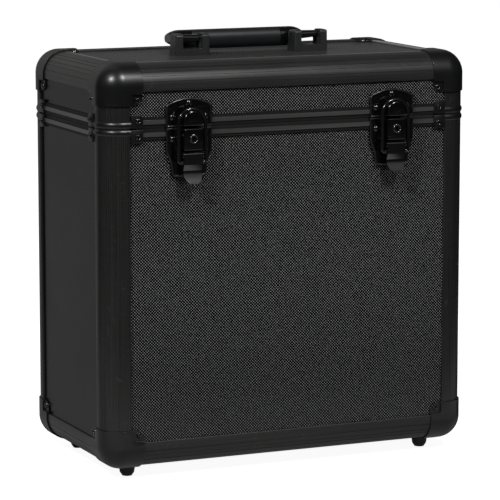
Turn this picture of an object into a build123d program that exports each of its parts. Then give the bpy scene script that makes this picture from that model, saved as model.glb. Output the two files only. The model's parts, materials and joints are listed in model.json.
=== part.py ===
from build123d import *
import math
import os

os.makedirs("parts", exist_ok=True)

# Record carrying case for twelve inch records. All sizes are in millimetres.
# The case is drawn with its middle at x = 0, y = 0 and the underside of its frame at z = 0.
# save() then moves every piece so that the feet stand on z = 0 and the whole object is
# centred over the origin. The front is towards -Y and the left side is towards -X.

# Overall sizes of the frame, over its edge bars
case_width = 352.0
case_depth = 184.0
case_height = 355.0
lid_height = 55.4          # from the middle of the joint between body and lid to the top
seam_gap = 0.4             # open joint between the two rims

# Aluminium edge bars
edge_flange = 24.0         # how far the bar lies over each panel
edge_radius = 20.0         # rounding of the outside corner
edge_wall = 2.0
edge_inner_wall = 1.5
slot_floor = 19.0          # from the outside corner to the bottom of the panel slots

# Laminated panels
panel_thickness = 6.0
panel_fit = 0.05           # play between a panel's face and its slot
panel_end_gap = 0.2        # play between a panel's edge and the bottom of its slot

# Rims that close the panels at the seam
rim_height = 10.0
lid_bar = (3.4, 7.0)       # the raised bar of the lid's rim, heights over the seam
body_bar = (3.8, 7.4)      # the raised bar of the body's rim, depths under the seam
rim_recess = 0.8
rim_deep_recess = 1.2      # beside the seam, on the body
body_rim_web = 1.7
lid_rim_web = 4.5
tongue_depth = 5.0         # from the outside face to the tongue
tongue_thickness = 1.6
tongue_height = 2.2
groove_play = 0.6

# Corner caps and the straps beside the seam
cap_wall = 1.3
cap_reach = 35.5
cap_gap = 0.05             # paint and play under sheet metal that lies on the bars
cap_tab_round = 8.0
cap_step_gap = 0.1
fixing_inset = 31.0        # from the outside faces to a corner cap's rivets
strap_band = 6.0           # height of the strap round the corner, from the seam
strap_tab = 12.4           # height of its riveted ends
strap_reach = 35.5
strap_tab_start = 24.4
strap_round = 4.0          # rounding of its tab ends
strap_rivet_inset = 31.0
strap_rivet_height = 7.0
strap_gap = 0.7            # from the middle of the seam to a strap

# Blind rivets
rivet_head_radius = 2.9
rivet_head_height = 1.5
rivet_shank_radius = 1.6
rivet_tail_radius = 2.5
rivet_tail_height = 1.2
rivet_play = 0.1

# Feet
foot_drop = 11.0           # from the frame's underside to the ground
foot_radius = 7.2
foot_tip_radius = 4.4
foot_round = 3.0           # height of the slope round its tip
foot_side_lean = 0.8
foot_band = 2.0            # straight part under the cap
foot_spigot_radius = 4.4
screw_radius = 1.75
screw_head_radius = 3.4
screw_head_height = 1.5
foot_screw_bite = 5.0      # how far the screw goes into the foot's spigot and body

# Lining
lining_thickness = 3.0
lining_margin = 0.5
lining_gap = 0.05
lining_pocket_play = 0.4

# Draw latches
latch_offset = 98.0        # from the middle of the case to a latch's middle
latch_half_width = 21.2
plate_wall = 1.3
keeper_gap = 0.5           # from the middle of the seam to the latch plates
keeper_shoulder = 19.3     # heights over the seam
keeper_top = 25.1
keeper_round = 4.0
base_shoulder = 20.6       # depths under the seam
base_bottom = 42.6
base_bottom_half_width = 15.6
base_waist = 31.6          # where its sides turn down, under the seam
base_waist_lean = 1.2
base_bend_round = 8.0
base_end_round = 3.0
hook_half_width = 8.75
hook_low = 1.6
hook_arch_height = 6.2     # of the middle of the hook's arch, over the seam
hook_depth = 11.6          # from the rim's face to the front of the hook
hook_wall = 1.4
lock_half_width = 8.75
lock_top = 0.4
lock_bottom = 19.6
lock_depth = 11.8
lock_wall = 1.5
lock_round = 1.2
key_drop = 9.4
key_radius = 2.7
key_fit = 0.05
bezel_radius = 3.6
bezel_height = 0.8
key_recess = 0.2           # from the bezel's face back to the plug's
key_collar_gap = 0.15
key_collar_length = 1.05
key_collar_step = 0.8
key_slot_width = 0.9
key_slot_reach = 1.9
key_slot_depth = 3.0
cam_length = 6.0
cam_width = 3.6
cam_thickness = 1.5
latch_rivet_offset = 15.3
keeper_rivet_height = 9.0
keeper_top_rivet = 20.9
base_rivet_drop = 9.8
base_low_rivet = 38.6
latch_rivet_head_radius = 3.1
latch_rivet_head_height = 2.2

# Lever, its pivot on the base and the bail's pivot on the lever
lever_half_width = 8.6
lever_wall = 1.2
lever_pivot_drop = 23.6
lever_pivot_depth = 8.9
lever_knuckle_radius = 2.6
lever_pin_radius = 1.25
lever_length = 25.2        # from its pivot down to its tip
lever_bend_drop = 8.4      # from the pivot to where its front turns in
lever_bend_depth = 0.4     # depths behind the knuckle's front
lever_crease_drop = 13.6   # from the pivot to the crease over the finger tab
lever_crease_depth = 2.7
lever_tip_flare = 1.9      # how far its tip stands out past its knuckle
lever_tab_curl = 1.5       # above 1, the tab curls out towards its tip
lever_tab_steps = 6
lever_cheek_angle = 48.0   # where the cheek leaves the bail's boss, degrees under the level
bail_pivot_drop = 30.2
bail_pivot_depth = 8.4
bail_boss_radius = 2.6
bail_wire_radius = 1.7
bail_inner_half_width = 10.9
bail_hook_gap = 0.35
bail_bend_radius = 2.2
bail_end_reach = 0.3       # of the bent ends past the cheeks' inner faces
running_fit = 0.05
ear_gap = 0.3
ear_wall = 0.9
ear_radius = 2.8
ear_low_angle = 65.0       # where its lower edge leaves the round, degrees under the level
ear_foot_drop = 5.5        # of its root under the pivot
ear_lock_gap = 0.4

# Hinges at the back
hinge_offset = 98.0
hinge_width = 44.0
hinge_leaf_height = 24.0
hinge_leaf_wall = 1.3
hinge_axis_depth = 3.6     # from the rims' face to the pin
hinge_knuckle_radius = 3.1
hinge_pin_radius = 1.6
hinge_pin_head = 0.8
hinge_pin_head_radius = 2.4
hinge_pin_play = 0.1
hinge_root = 0.5           # of a knuckle's root over its round
hinge_leaf_round = 4.0
hinge_knuckle_gap = 0.4
hinge_knuckles = 5
hinge_stop_length = 7.0
hinge_stop_wall = 1.8
hinge_leaf_play = 0.6      # from the knuckles' level to the leaf of the other side
hinge_rivet_offset = 15.0
hinge_near_rivet = 13.0    # from the seam
hinge_far_rivet = 19.5

# Handle and its two brackets
bracket_offset = 58.2      # from the middle of the case to a bracket's middle
bracket_width = 33.0
bracket_depth = 17.0
bracket_base_height = 6.0
bracket_post_width = 7.0
bracket_post_back = 5.5    # how far the posts reach behind the pin
bracket_height = 19.4
bracket_round = 3.0        # of the posts' crowns, front and back
bracket_shoulder = 2.4     # of the crowns' outer sides
bracket_corner = 1.6       # of the upright corners
bracket_stop_width = 1.3   # nibs on the posts that the handle's arms rest on
bracket_stop_start = 3.4
bracket_stop_gap = 0.1
handle_axis_height = 15.3  # over the top panel
handle_pin_radius = 1.6
handle_barrel_radius = 3.0
handle_side_gap = 0.3
handle_arm_length = 33.0
handle_drop = 2.9          # how far the grip lies under the pins
handle_arm_radius = 3.4
grip_half_length = 44.0
grip_radius = 7.4
grip_core_radius = 4.0
grip_fit = 0.05
grip_collar_end = 55.0
collar_grooves = (47.4, 51.4)
collar_groove_width = 1.2
collar_groove_depth = 0.7
bracket_screw_offset = 10.0

# Places that follow from the sizes above
half_width = case_width / 2
half_depth = case_depth / 2
seam_height = case_height - lid_height
panel_face = edge_wall + panel_fit
panel_back = panel_face + panel_thickness
slot_back = panel_back + panel_fit
inner_face = slot_back + edge_inner_wall
panel_inset = slot_floor + panel_end_gap
lining_face = panel_back + lining_gap
body_rim_seat = seam_height - seam_gap / 2 - body_rim_web - panel_end_gap
lid_rim_seat = seam_height + seam_gap / 2 + lid_rim_web + panel_end_gap
tab_face = panel_face - cap_gap - cap_wall
bail_plane = bail_pivot_depth
bail_leg = bail_inner_half_width + bail_wire_radius
front_reach = lever_pivot_depth + lever_knuckle_radius + lever_tip_flare
back_reach = hinge_axis_depth + hinge_stop_length
case_y = (front_reach - back_reach) / 2
top_face = case_height - panel_face


def save(name, pieces):
    """Writes one node, moved to its place over the origin."""
    solids = [s for piece in pieces for s in piece.solids()]
    moved = [Pos(0, case_y, foot_drop) * s for s in solids]
    export_step(Compound(children=moved), f"parts/{name}.step")


def block(x0, x1, y0, y1, z0, z1):
    middle = ((x0 + x1) / 2, (y0 + y1) / 2, (z0 + z1) / 2)
    return Pos(*middle) * Box(x1 - x0, y1 - y0, z1 - z0)


def rod_x(x0, x1, y, z, radius):
    return Pos((x0 + x1) / 2, y, z) * Rot(0, 90, 0) * Cylinder(radius, abs(x1 - x0))


def rod_y(x, y0, y1, z, radius):
    return Pos(x, (y0 + y1) / 2, z) * Rot(90, 0, 0) * Cylinder(radius, abs(y1 - y0))


def rod_z(x, y, z0, z1, radius):
    return Pos(x, y, (z0 + z1) / 2) * Cylinder(radius, abs(z1 - z0))


def outline_of(*points):
    """A flat face through the points, whichever way round they are given."""
    pairs = zip(points, points[1:] + points[:1])
    twice_area = sum(a[0] * b[1] - a[1] * b[0] for a, b in pairs)
    ordered = points if twice_area > 0 else tuple(reversed(points))
    return Polygon(*ordered, align=None)


def cycle(shape, turns):
    """Turns X into Y, Y into Z and Z into X, so many times."""
    return shape.rotate(Axis((0, 0, 0), (1, 1, 1)), 120 * turns)


def at_corner(shape, right, back, top):
    """Takes a shape drawn from the left, front, bottom corner to any corner of the case."""
    if right:
        shape = mirror(shape, Plane.YZ)
    if back:
        shape = mirror(shape, Plane.XZ)
    if top:
        shape = mirror(shape, Plane.XY)
    x = half_width if right else -half_width
    y = half_depth if back else -half_depth
    z = case_height if top else 0
    return Pos(x, y, z) * shape


def mirror_x(shape):
    return mirror(shape, Plane.YZ)


def mirror_y(shape):
    return mirror(shape, Plane.XZ)


corners = [(right, back) for right in (False, True) for back in (False, True)]


# Edge bars

def edge_section():
    """Section of an edge bar, its outside corner at the origin."""
    low = (Align.MIN, Align.MIN)
    outline = Rectangle(edge_flange, edge_flange, align=low)
    outline = fillet(outline.vertices().group_by(Axis.X)[0].sort_by(Axis.Y)[0], edge_radius)
    inside = Pos(inner_face, inner_face) * Rectangle(edge_flange, edge_flange, align=low)
    slot = Pos(slot_floor, edge_wall) * Rectangle(edge_flange, slot_back - edge_wall, align=low)
    other_slot = Pos(edge_wall, slot_floor) * Rectangle(slot_back - edge_wall, edge_flange, align=low)
    web = slot_floor - edge_inner_wall
    chamber = Rectangle(web, web, align=low)
    chamber &= Pos(edge_radius, edge_radius) * Circle(edge_radius - edge_wall)
    chamber -= Pos(slot_back, slot_back) * Rectangle(edge_flange, edge_flange, align=low)
    return outline - inside - slot - other_slot - chamber


def mitre_cut():
    """What the end of a bar along X loses, so that three bars meet on mitres in a corner."""
    past = edge_flange + 1
    wedge = outline_of((edge_radius, edge_radius), (past, past), (edge_radius, past))
    side = extrude(wedge, past)
    under = mirror(side, Plane(origin=(0, 0, 0), z_dir=(0, 1, -1)))
    return side + under


def edge_bar(length, both_mitred):
    """Bar along X from a corner of the case, where its ball cap starts."""
    end = length - edge_radius if both_mitred else length
    bar = extrude(Plane.YZ * edge_section(), end - edge_radius)
    bar = Pos(edge_radius, 0, 0) * bar
    bar -= mitre_cut()
    if both_mitred:
        bar -= Pos(length, 0, 0) * mirror_x(mitre_cut())
    return bar


def level_edges(top):
    """The four level bars round the bottom or the top."""
    along_x = edge_bar(case_width, True)
    along_y = cycle(edge_bar(case_depth, True), 1)
    front = at_corner(along_x, False, False, top)
    back = at_corner(along_x, False, True, top)
    left = at_corner(along_y, False, False, top)
    right = at_corner(along_y, True, False, top)
    return [front, back, left, right]


def upright_edge(right, back, top):
    height = case_height - seam_height if top else seam_height
    bar = cycle(edge_bar(height - seam_gap / 2, False), 2)
    return at_corner(bar, right, back, top)


# Rims

def body_rim_section():
    """Section of the body's rim: x is the depth from the outside, y the height over the seam."""
    top = -seam_gap / 2
    under = top - body_rim_web
    return outline_of(
        (rim_deep_recess, top),
        (rim_deep_recess, -body_bar[0] + 0.3),
        (0, -body_bar[0]),
        (0, -body_bar[1]),
        (rim_recess, -body_bar[1] - 0.2),
        (rim_recess, -rim_height),
        (edge_wall, -rim_height),
        (edge_wall, under),
        (slot_back, under),
        (slot_back, -rim_height),
        (inner_face, -rim_height),
        (inner_face, top),
        (tongue_depth + tongue_thickness, top),
        (tongue_depth + tongue_thickness, tongue_height),
        (tongue_depth, tongue_height),
        (tongue_depth, top),
    )


def lid_rim_section():
    """Section of the lid's rim, with the groove that the tongue enters."""
    low = seam_gap / 2
    over = low + lid_rim_web
    groove_top = tongue_height + groove_play
    groove_near = tongue_depth - groove_play
    groove_far = tongue_depth + tongue_thickness + groove_play
    return outline_of(
        (rim_recess, low),
        (rim_recess, lid_bar[0] - 0.2),
        (0, lid_bar[0]),
        (0, lid_bar[1]),
        (rim_recess, lid_bar[1] + 0.2),
        (rim_recess, rim_height),
        (edge_wall, rim_height),
        (edge_wall, over),
        (slot_back, over),
        (slot_back, rim_height),
        (inner_face, rim_height),
        (inner_face, low),
        (groove_far, low),
        (groove_far, groove_top),
        (groove_near, groove_top),
        (groove_near, low),
    )


def rims(section):
    """Four rims between the upright bars."""
    start = edge_flange + panel_end_gap
    long_half = half_width - start
    short_half = half_depth - start
    front = extrude(Plane.YZ * section, long_half, both=True)
    front = Pos(0, -half_depth, seam_height) * front
    upright = Plane(origin=(0, 0, 0), x_dir=(1, 0, 0), z_dir=(0, -1, 0))
    left = extrude(upright * section, short_half, both=True)
    left = Pos(-half_width, 0, seam_height) * left
    return [front, mirror_y(front), left, mirror_x(left)]


# Rivets and screws, each with the hole and the pocket that it needs

def fastener(grip, head_radius, head_height):
    """A domed rivet along -Z from its seat at the origin, with its bore and its pocket."""
    sphere_radius = (head_radius ** 2 + head_height ** 2) / (2 * head_height)
    dome = Pos(0, 0, head_height - sphere_radius) * Sphere(sphere_radius)
    dome &= Pos(0, 0, head_height / 2) * Cylinder(head_radius + 1, head_height)
    shank = rod_z(0, 0, -grip, 0.2, rivet_shank_radius)
    tail = rod_z(0, 0, -grip - rivet_tail_height, -grip, rivet_tail_radius)
    bore = rod_z(0, 0, -grip, cap_wall, rivet_shank_radius + rivet_play)
    pocket_radius = rivet_tail_radius + lining_pocket_play
    pocket_top = inner_face - panel_back - grip
    pocket = rod_z(0, 0, -grip - rivet_tail_height - lining_pocket_play, pocket_top, pocket_radius)
    return dome + shank + tail, bore, pocket


def corner_rivets(right, back, top, faces):
    """Rivets through a corner cap's tabs; face 0 is level, 1 faces the side, 2 the front."""
    grip = panel_back - tab_face
    shapes = fastener(grip, rivet_head_radius, rivet_head_height)
    placed = []
    for face in faces:
        down = [Rot(180, 0, 0) * shape for shape in shapes]
        seated = [Pos(fixing_inset, fixing_inset, tab_face) * shape for shape in down]
        turned = [cycle(shape, face) for shape in seated]
        placed.append([at_corner(shape, right, back, top) for shape in turned])
    return placed


def strap_rivets(right, back, top):
    """Two rivets, one on each face, through a strap, a rim and a panel."""
    grip = inner_face + cap_wall + cap_gap
    seat = -cap_wall - cap_gap
    shapes = fastener(grip, rivet_head_radius, rivet_head_height)
    height = seam_height + strap_rivet_height if top else seam_height - strap_rivet_height
    local = case_height - height if top else height
    front = [Pos(strap_rivet_inset, seat, local) * Rot(90, 0, 0) * shape for shape in shapes]
    side = [Pos(seat, strap_rivet_inset, local) * Rot(0, -90, 0) * shape for shape in shapes]
    return [[at_corner(shape, right, back, top) for shape in group] for group in (front, side)]


def face_rivet(x, z, seat, back, head_radius, head_height):
    """A rivet on the front or the back; seat is how far its head stands off the frame's face."""
    grip = inner_face + seat if abs(z - seam_height) < rim_height else panel_back + seat
    shapes = fastener(grip, head_radius, head_height)
    placed = [Pos(x, -half_depth - seat, z) * Rot(90, 0, 0) * shape for shape in shapes]
    return [mirror_y(shape) for shape in placed] if back else placed


# Corner caps and straps

def rounded_corner_box(low, high, radius):
    """A cube from low to high whose three edges at the low corner are rounded."""
    cube = block(low, high, low, high, low, high)
    near = [e for e in cube.edges() if sum(abs(c - low) < 0.01 for c in tuple(e.center())) == 2]
    return fillet(near, radius)


def cap_tab():
    """The lowered tab of the level face, with the step down to it and its rounded corner."""
    start = edge_flange + cap_step_gap
    side = cap_reach - start
    square = Pos(start, start) * Rectangle(side, side, align=(Align.MIN, Align.MIN))
    far = square.vertices().sort_by(Axis.X)[-2:].sort_by(Axis.Y)[-1]
    square = fillet(far, cap_tab_round)
    tab = extrude(square, tab_face + cap_wall + cap_wall + cap_gap)
    tab = Pos(0, 0, -cap_wall - cap_gap) * tab
    pocket_start = start + cap_wall
    pocket = block(pocket_start, cap_reach + 1, pocket_start, cap_reach + 1, -cap_wall - 1, tab_face)
    return tab - pocket


def corner_cap():
    outer = rounded_corner_box(-cap_wall - cap_gap, cap_reach, edge_radius + cap_wall + cap_gap)
    inner = rounded_corner_box(-cap_gap, cap_reach + 1, edge_radius + cap_gap)
    shell = outer - inner
    start = edge_flange + cap_step_gap
    window = block(start, cap_reach + 1, start, cap_reach + 1, -cap_wall - 1, cap_wall)
    for face in range(3):
        shell -= cycle(window, face)
    for face in range(3):
        shell += cycle(cap_tab(), face)
    return shell


def strap_section():
    """Section of a strap that wraps an upright bar."""
    low = (Align.MIN, Align.MIN)
    out = cap_wall + cap_gap
    outer = Pos(-out, -out) * Rectangle(strap_reach + out, strap_reach + out, align=low)
    outer = fillet(outer.vertices().group_by(Axis.X)[0].sort_by(Axis.Y)[0], edge_radius + out)
    size = strap_reach + cap_gap + 1
    inner = Pos(-cap_gap, -cap_gap) * Rectangle(size, size, align=low)
    inner = fillet(inner.vertices().group_by(Axis.X)[0].sort_by(Axis.Y)[0], edge_radius + cap_gap)
    return outer - inner


def corner_strap(right, back, top):
    """A band round the corner beside the seam, with a taller riveted tab on each face."""
    section = strap_section()
    tall = extrude(section, strap_tab - strap_gap)
    short = strap_band - strap_gap
    cut = block(-5, strap_tab_start, -5, strap_tab_start, short, strap_tab)
    strap = tall - cut
    ends = strap.edges().filter_by(lambda e: abs(e.length - cap_wall) < 0.01)
    tips = [e for e in ends if abs(e.center().Z - (strap_tab - strap_gap)) < 0.01
            and max(e.center().X, e.center().Y) > strap_reach - 0.01]
    strap = fillet(tips, strap_round)
    local = seam_height - strap_gap if not top else case_height - seam_height - strap_gap
    strap = Pos(0, 0, local) * mirror(strap, Plane.XY)
    return at_corner(strap, right, back, top)


# Panels and lining

def front_panel(low, high):
    half = half_width - panel_inset
    return block(-half, half, -half_depth + panel_face, -half_depth + panel_back, low, high)


def side_panel(low, high):
    half = half_depth - panel_inset
    return block(-half_width + panel_face, -half_width + panel_back, -half, half, low, high)


def level_panel(low, high):
    return block(-half_width + panel_inset, half_width - panel_inset,
                 -half_depth + panel_inset, half_depth - panel_inset, low, high)


def lining_pads(low, high, floor, ceiling):
    """Four wall pads between the heights low and high, and one level pad."""
    across = half_width - edge_flange - lining_margin
    along = half_depth - edge_flange - lining_margin
    near = lining_face
    far = lining_face + lining_thickness
    front = block(-across, across, -half_depth + near, -half_depth + far, low, high)
    left = block(-half_width + near, -half_width + far, -along, along, low, high)
    level = block(-across, across, -along, along, floor, ceiling)
    return [front, mirror_y(front), left, mirror_x(left), level]


def cut_all(pieces, tools):
    """Cuts each piece by the tools whose boxes meet its box."""
    result = []
    for piece in pieces:
        box = piece.bounding_box()
        near = [t for t in tools if boxes_meet(box, t.bounding_box())]
        result.append(piece.cut(*near) if near else piece)
    return result


def boxes_meet(a, b):
    apart_x = a.min.X > b.max.X or b.min.X > a.max.X
    apart_y = a.min.Y > b.max.Y or b.min.Y > a.max.Y
    apart_z = a.min.Z > b.max.Z or b.min.Z > a.max.Z
    return not (apart_x or apart_y or apart_z)


# Feet

def foot():
    """A domed rubber foot under a corner cap, drawn from the left, front, bottom corner."""
    seat = -cap_wall - cap_gap - cap_gap
    profile = outline_of(
        (0, -foot_drop),
        (foot_tip_radius, -foot_drop),
        (foot_radius - foot_side_lean, -foot_drop + foot_round),
        (foot_radius, seat - foot_band),
        (foot_radius, seat),
        (foot_spigot_radius, seat),
        (foot_spigot_radius, tab_face - cap_gap),
        (0, tab_face - cap_gap),
    )
    body = revolve(Plane.XZ * profile, Axis.Z)
    body -= rod_z(0, 0, -foot_screw_bite, tab_face, screw_radius)
    return Pos(fixing_inset, fixing_inset, 0) * body


def foot_screw():
    """Its head lies on the bottom panel, and it goes down through the cap into the foot."""
    head = rod_z(0, 0, panel_back, panel_back + screw_head_height, screw_head_radius)
    shank = rod_z(0, 0, -foot_screw_bite, panel_back + 0.1, screw_radius)
    bore = rod_z(0, 0, tab_face - 0.1, panel_back, screw_radius + rivet_play)
    pocket_top = panel_back + screw_head_height + lining_pocket_play
    pocket = rod_z(0, 0, panel_back, pocket_top, screw_head_radius + lining_pocket_play)
    place = Pos(fixing_inset, fixing_inset, 0)
    return [place * (head + shank), place * bore, place * pocket]


# Latches. Each is drawn at x = 0, with y = 0 on the frame's front face and z = 0 at the seam,
# and put in its place by at_latch().

def at_latch(shape, side):
    return Pos(side * latch_offset, -half_depth, seam_height) * shape


def plate_with_walls(outline, wall_from, wall_to):
    """A pressed plate, its edge folded back to the panel where it stands over the panel."""
    plate = extrude(Plane.XZ * outline, plate_wall)
    ring = outline - offset(outline, -plate_wall)
    walls = extrude(Plane.XZ * ring, -panel_face + cap_gap)
    walls &= block(-50, 50, -5, 5, wall_from, wall_to)
    return plate + walls


def keeper_outline():
    half = latch_half_width
    left, right = (-half, keeper_shoulder), (half, keeper_shoulder)
    sides = Polyline(left, (-half, keeper_gap), (half, keeper_gap), right)
    arch = ThreePointArc(right, (0, keeper_top), left)
    outline = make_face([sides, arch])
    shoulders = outline.vertices().filter_by(lambda v: v.Y > keeper_gap + 1)
    return fillet(shoulders, keeper_round)


def base_outline():
    half = latch_half_width
    low_half = base_bottom_half_width
    waist = low_half + base_waist_lean
    outline = outline_of(
        (-half, -keeper_gap),
        (-half, -base_shoulder),
        (-waist, -base_waist),
        (-low_half, -base_bottom),
        (low_half, -base_bottom),
        (waist, -base_waist),
        (half, -base_shoulder),
        (half, -keeper_gap),
    )
    bends = outline.vertices().filter_by(lambda v: -base_bottom + 1 < v.Y < -base_shoulder + 1)
    outline = fillet(bends, base_bend_round)
    ends = outline.vertices().filter_by(lambda v: v.Y < -base_bottom + 0.1)
    return fillet(ends, base_end_round)


def hook_outline(inset, low):
    """The hook is a letter D lying on its straight side."""
    half = hook_half_width - inset
    left, right = (-half, hook_arch_height), (half, hook_arch_height)
    legs = Polyline(left, (-half, low), (half, low), right)
    arch = ThreePointArc(right, (0, hook_arch_height + half), left)
    return make_face([legs, arch])


def keeper():
    """The lid's half of a latch: a plate and the hook that the bail pulls on."""
    plate = plate_with_walls(keeper_outline(), rim_height + panel_end_gap, keeper_top + 1)
    hook = extrude(Plane.XZ * hook_outline(0, hook_low), hook_depth)
    front = hook.faces().sort_by(Axis.Y)[0]
    hook = fillet(front.edges(), hook_wall)
    hollow = extrude(Plane.XZ * hook_outline(hook_wall, hook_low - 2), hook_depth - hook_wall)
    return (plate + hook) - (hollow & block(-50, 50, -hook_depth, -plate_wall, 0, 50))


def lever_ear():
    """An upright ear of the base plate that carries the lever's pin, at the side x > 0."""
    inner = lever_half_width + ear_gap
    pivot = (-lever_pivot_depth, -lever_pivot_drop)
    low_angle = math.radians(ear_low_angle)
    foot_edge = outline_of(
        (0, -lock_bottom - ear_lock_gap),
        (0, -lever_pivot_drop - ear_foot_drop),
        (pivot[0] + ear_radius * math.cos(low_angle), pivot[1] - ear_radius * math.sin(low_angle)),
        (pivot[0], pivot[1] + ear_radius),
    )
    profile = foot_edge + Pos(*pivot) * Circle(ear_radius)
    profile -= Pos(*pivot) * Circle(lever_pin_radius)
    return Pos(inner, 0, 0) * extrude(Plane.YZ * profile, ear_wall)


def latch_base():
    """The body's half of a latch: a pressed plate with two ears."""
    plate = plate_with_walls(base_outline(), -base_bottom - 1, -rim_height - panel_end_gap)
    ear = lever_ear() & block(0, 50, -50, -plate_wall / 2, -50, 0)
    return plate + ear + mirror_x(ear)


def lock_housing():
    """The box between the bail's legs that holds the key plug."""
    half = lock_half_width
    shell = block(-half, half, -lock_depth, -plate_wall, -lock_bottom, -lock_top)
    front = shell.faces().sort_by(Axis.Y)[0]
    shell = fillet(front.edges() + shell.edges().filter_by(Axis.Y), lock_round)
    inner = half - lock_wall
    low, high = -lock_bottom + lock_wall, -lock_top - lock_wall
    shell -= block(-inner, inner, -lock_depth + lock_wall, 0, low, high)
    face = -lock_depth - bezel_height
    shell += rod_y(0, face, -lock_depth, -key_drop, bezel_radius)
    return shell - rod_y(0, face - 1, -lock_depth + lock_wall + 1, -key_drop, key_radius + key_fit)


def key_plug():
    """The plug with its key slot, its collar behind the housing's face and its cam."""
    face = -lock_depth - bezel_height + key_recess
    collar_front = -lock_depth + lock_wall + key_collar_gap
    collar_back = collar_front + key_collar_length
    plug = rod_y(0, face, collar_back, -key_drop, key_radius)
    plug += rod_y(0, collar_front, collar_back, -key_drop, key_radius + key_collar_step)
    cam_half = cam_width / 2
    cam = block(-cam_half, cam_length, collar_back, collar_back + cam_thickness, -cam_half, cam_half)
    plug += Pos(0, 0, -key_drop) * cam
    slot_half = key_slot_width / 2
    slot = block(-slot_half, slot_half, face - 1, face + key_slot_depth, -key_slot_reach, key_slot_reach)
    return plug - Pos(0, 0, -key_drop) * slot


def lever_skin():
    """Outside line of the lever, from its knuckle to its finger tip: depth, height."""
    front = -lever_pivot_depth - lever_knuckle_radius
    crease = front + lever_crease_depth
    flare = lever_crease_depth + lever_tip_flare
    tab = lever_length - lever_crease_drop
    steps = [i / lever_tab_steps for i in range(1, lever_tab_steps + 1)]
    curl = [(crease - flare * t ** lever_tab_curl, -lever_pivot_drop - lever_crease_drop - tab * t)
            for t in steps]
    return [
        (front, -lever_pivot_drop),
        (front + lever_bend_depth, -lever_pivot_drop - lever_bend_drop),
        (crease, -lever_pivot_drop - lever_crease_drop),
    ] + curl


def lever_profile():
    """Side view of the lever with its cheeks filled in."""
    pivot = (-lever_pivot_depth, -lever_pivot_drop)
    bail = (-bail_pivot_depth, -bail_pivot_drop)
    skin = lever_skin()
    back = [(y + lever_wall, z) for y, z in reversed(skin[2:])]
    cheek_angle = math.radians(lever_cheek_angle)
    cheek_end = (bail[0] + bail_boss_radius * math.cos(cheek_angle),
                 bail[1] - bail_boss_radius * math.sin(cheek_angle))
    outline = skin + back + [cheek_end, (pivot[0] + lever_knuckle_radius, pivot[1])]
    profile = outline_of(*outline)
    profile += Pos(*pivot) * Circle(lever_knuckle_radius)
    return profile + Pos(*bail) * Circle(bail_boss_radius)


def lever():
    """A pressed lever: a front skin, two cheeks on the pins and a rounded finger tab."""
    pivot = (-lever_pivot_depth, -lever_pivot_drop)
    bail = (-bail_pivot_depth, -bail_pivot_drop)
    half = lever_half_width
    full = extrude(Plane.YZ * lever_profile(), half, both=True)
    skin = lever_skin()
    inner = [(y + lever_wall, z) for y, z in skin]
    inner[0] = (skin[0][0] + lever_wall, pivot[1] + lever_knuckle_radius - lever_wall)
    hollow = outline_of(*inner, (10, skin[-1][1]), (10, inner[0][1]))
    full -= extrude(Plane.YZ * hollow, half - lever_wall, both=True)
    tip = skin[-1][1]
    front_view = outline_of((-half, 0), (-half, tip + half), (half, tip + half), (half, 0))
    front_view += Pos(0, tip + half) * Circle(half)
    full &= extrude(Plane.XZ * front_view, 30, both=True)
    full -= rod_x(-half - 1, half + 1, *pivot, lever_pin_radius + running_fit)
    return full - rod_x(-half - 1, half + 1, *bail, bail_wire_radius + running_fit)


def lever_pin():
    end = lever_half_width + ear_gap + ear_wall
    return rod_x(-end, end, -lever_pivot_depth, -lever_pivot_drop, lever_pin_radius)


def diagonal(side, low, bend, sign):
    """Middle of the quarter circle in which a leg of the bail turns inwards."""
    along = bend * math.sqrt(0.5)
    return (sign * (side + along), 0, low + bend - along)


def bail():
    """A wire loop: an arch over the hook, two legs, and bent ends in the lever's cheeks."""
    inner_end = lever_half_width - lever_wall - bail_end_reach
    arch_centre = hook_half_width + hook_arch_height + bail_hook_gap - bail_inner_half_width
    low = -bail_pivot_drop
    bend = bail_bend_radius
    side = bail_leg - bend
    path = Wire([
        Edge.make_line((inner_end, 0, low), (side, 0, low)),
        Edge.make_three_point_arc((side, 0, low), diagonal(side, low, bend, 1),
                                  (bail_leg, 0, low + bend)),
        Edge.make_line((bail_leg, 0, low + bend), (bail_leg, 0, arch_centre)),
        Edge.make_three_point_arc((bail_leg, 0, arch_centre), (0, 0, arch_centre + bail_leg),
                                  (-bail_leg, 0, arch_centre)),
        Edge.make_line((-bail_leg, 0, arch_centre), (-bail_leg, 0, low + bend)),
        Edge.make_three_point_arc((-bail_leg, 0, low + bend), diagonal(side, low, bend, -1),
                                  (-side, 0, low)),
        Edge.make_line((-side, 0, low), (-inner_end, 0, low)),
    ])
    start = Plane(origin=(inner_end, 0, low), z_dir=(1, 0, 0))
    wire = sweep(start * Circle(bail_wire_radius), path=path)
    return Pos(0, -bail_plane, 0) * wire


# Hinges at the back, drawn at x = 0 on the back face, y outwards and z = 0 at the seam

def at_hinge(shape, side):
    return Pos(side * hinge_offset, half_depth, seam_height) * shape


def knuckle_spans():
    """Start and end of each knuckle, in order along X."""
    step = hinge_width / hinge_knuckles
    starts = [-hinge_width / 2 + i * step for i in range(hinge_knuckles)]
    return [(start, start + step) for start in starts]


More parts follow.
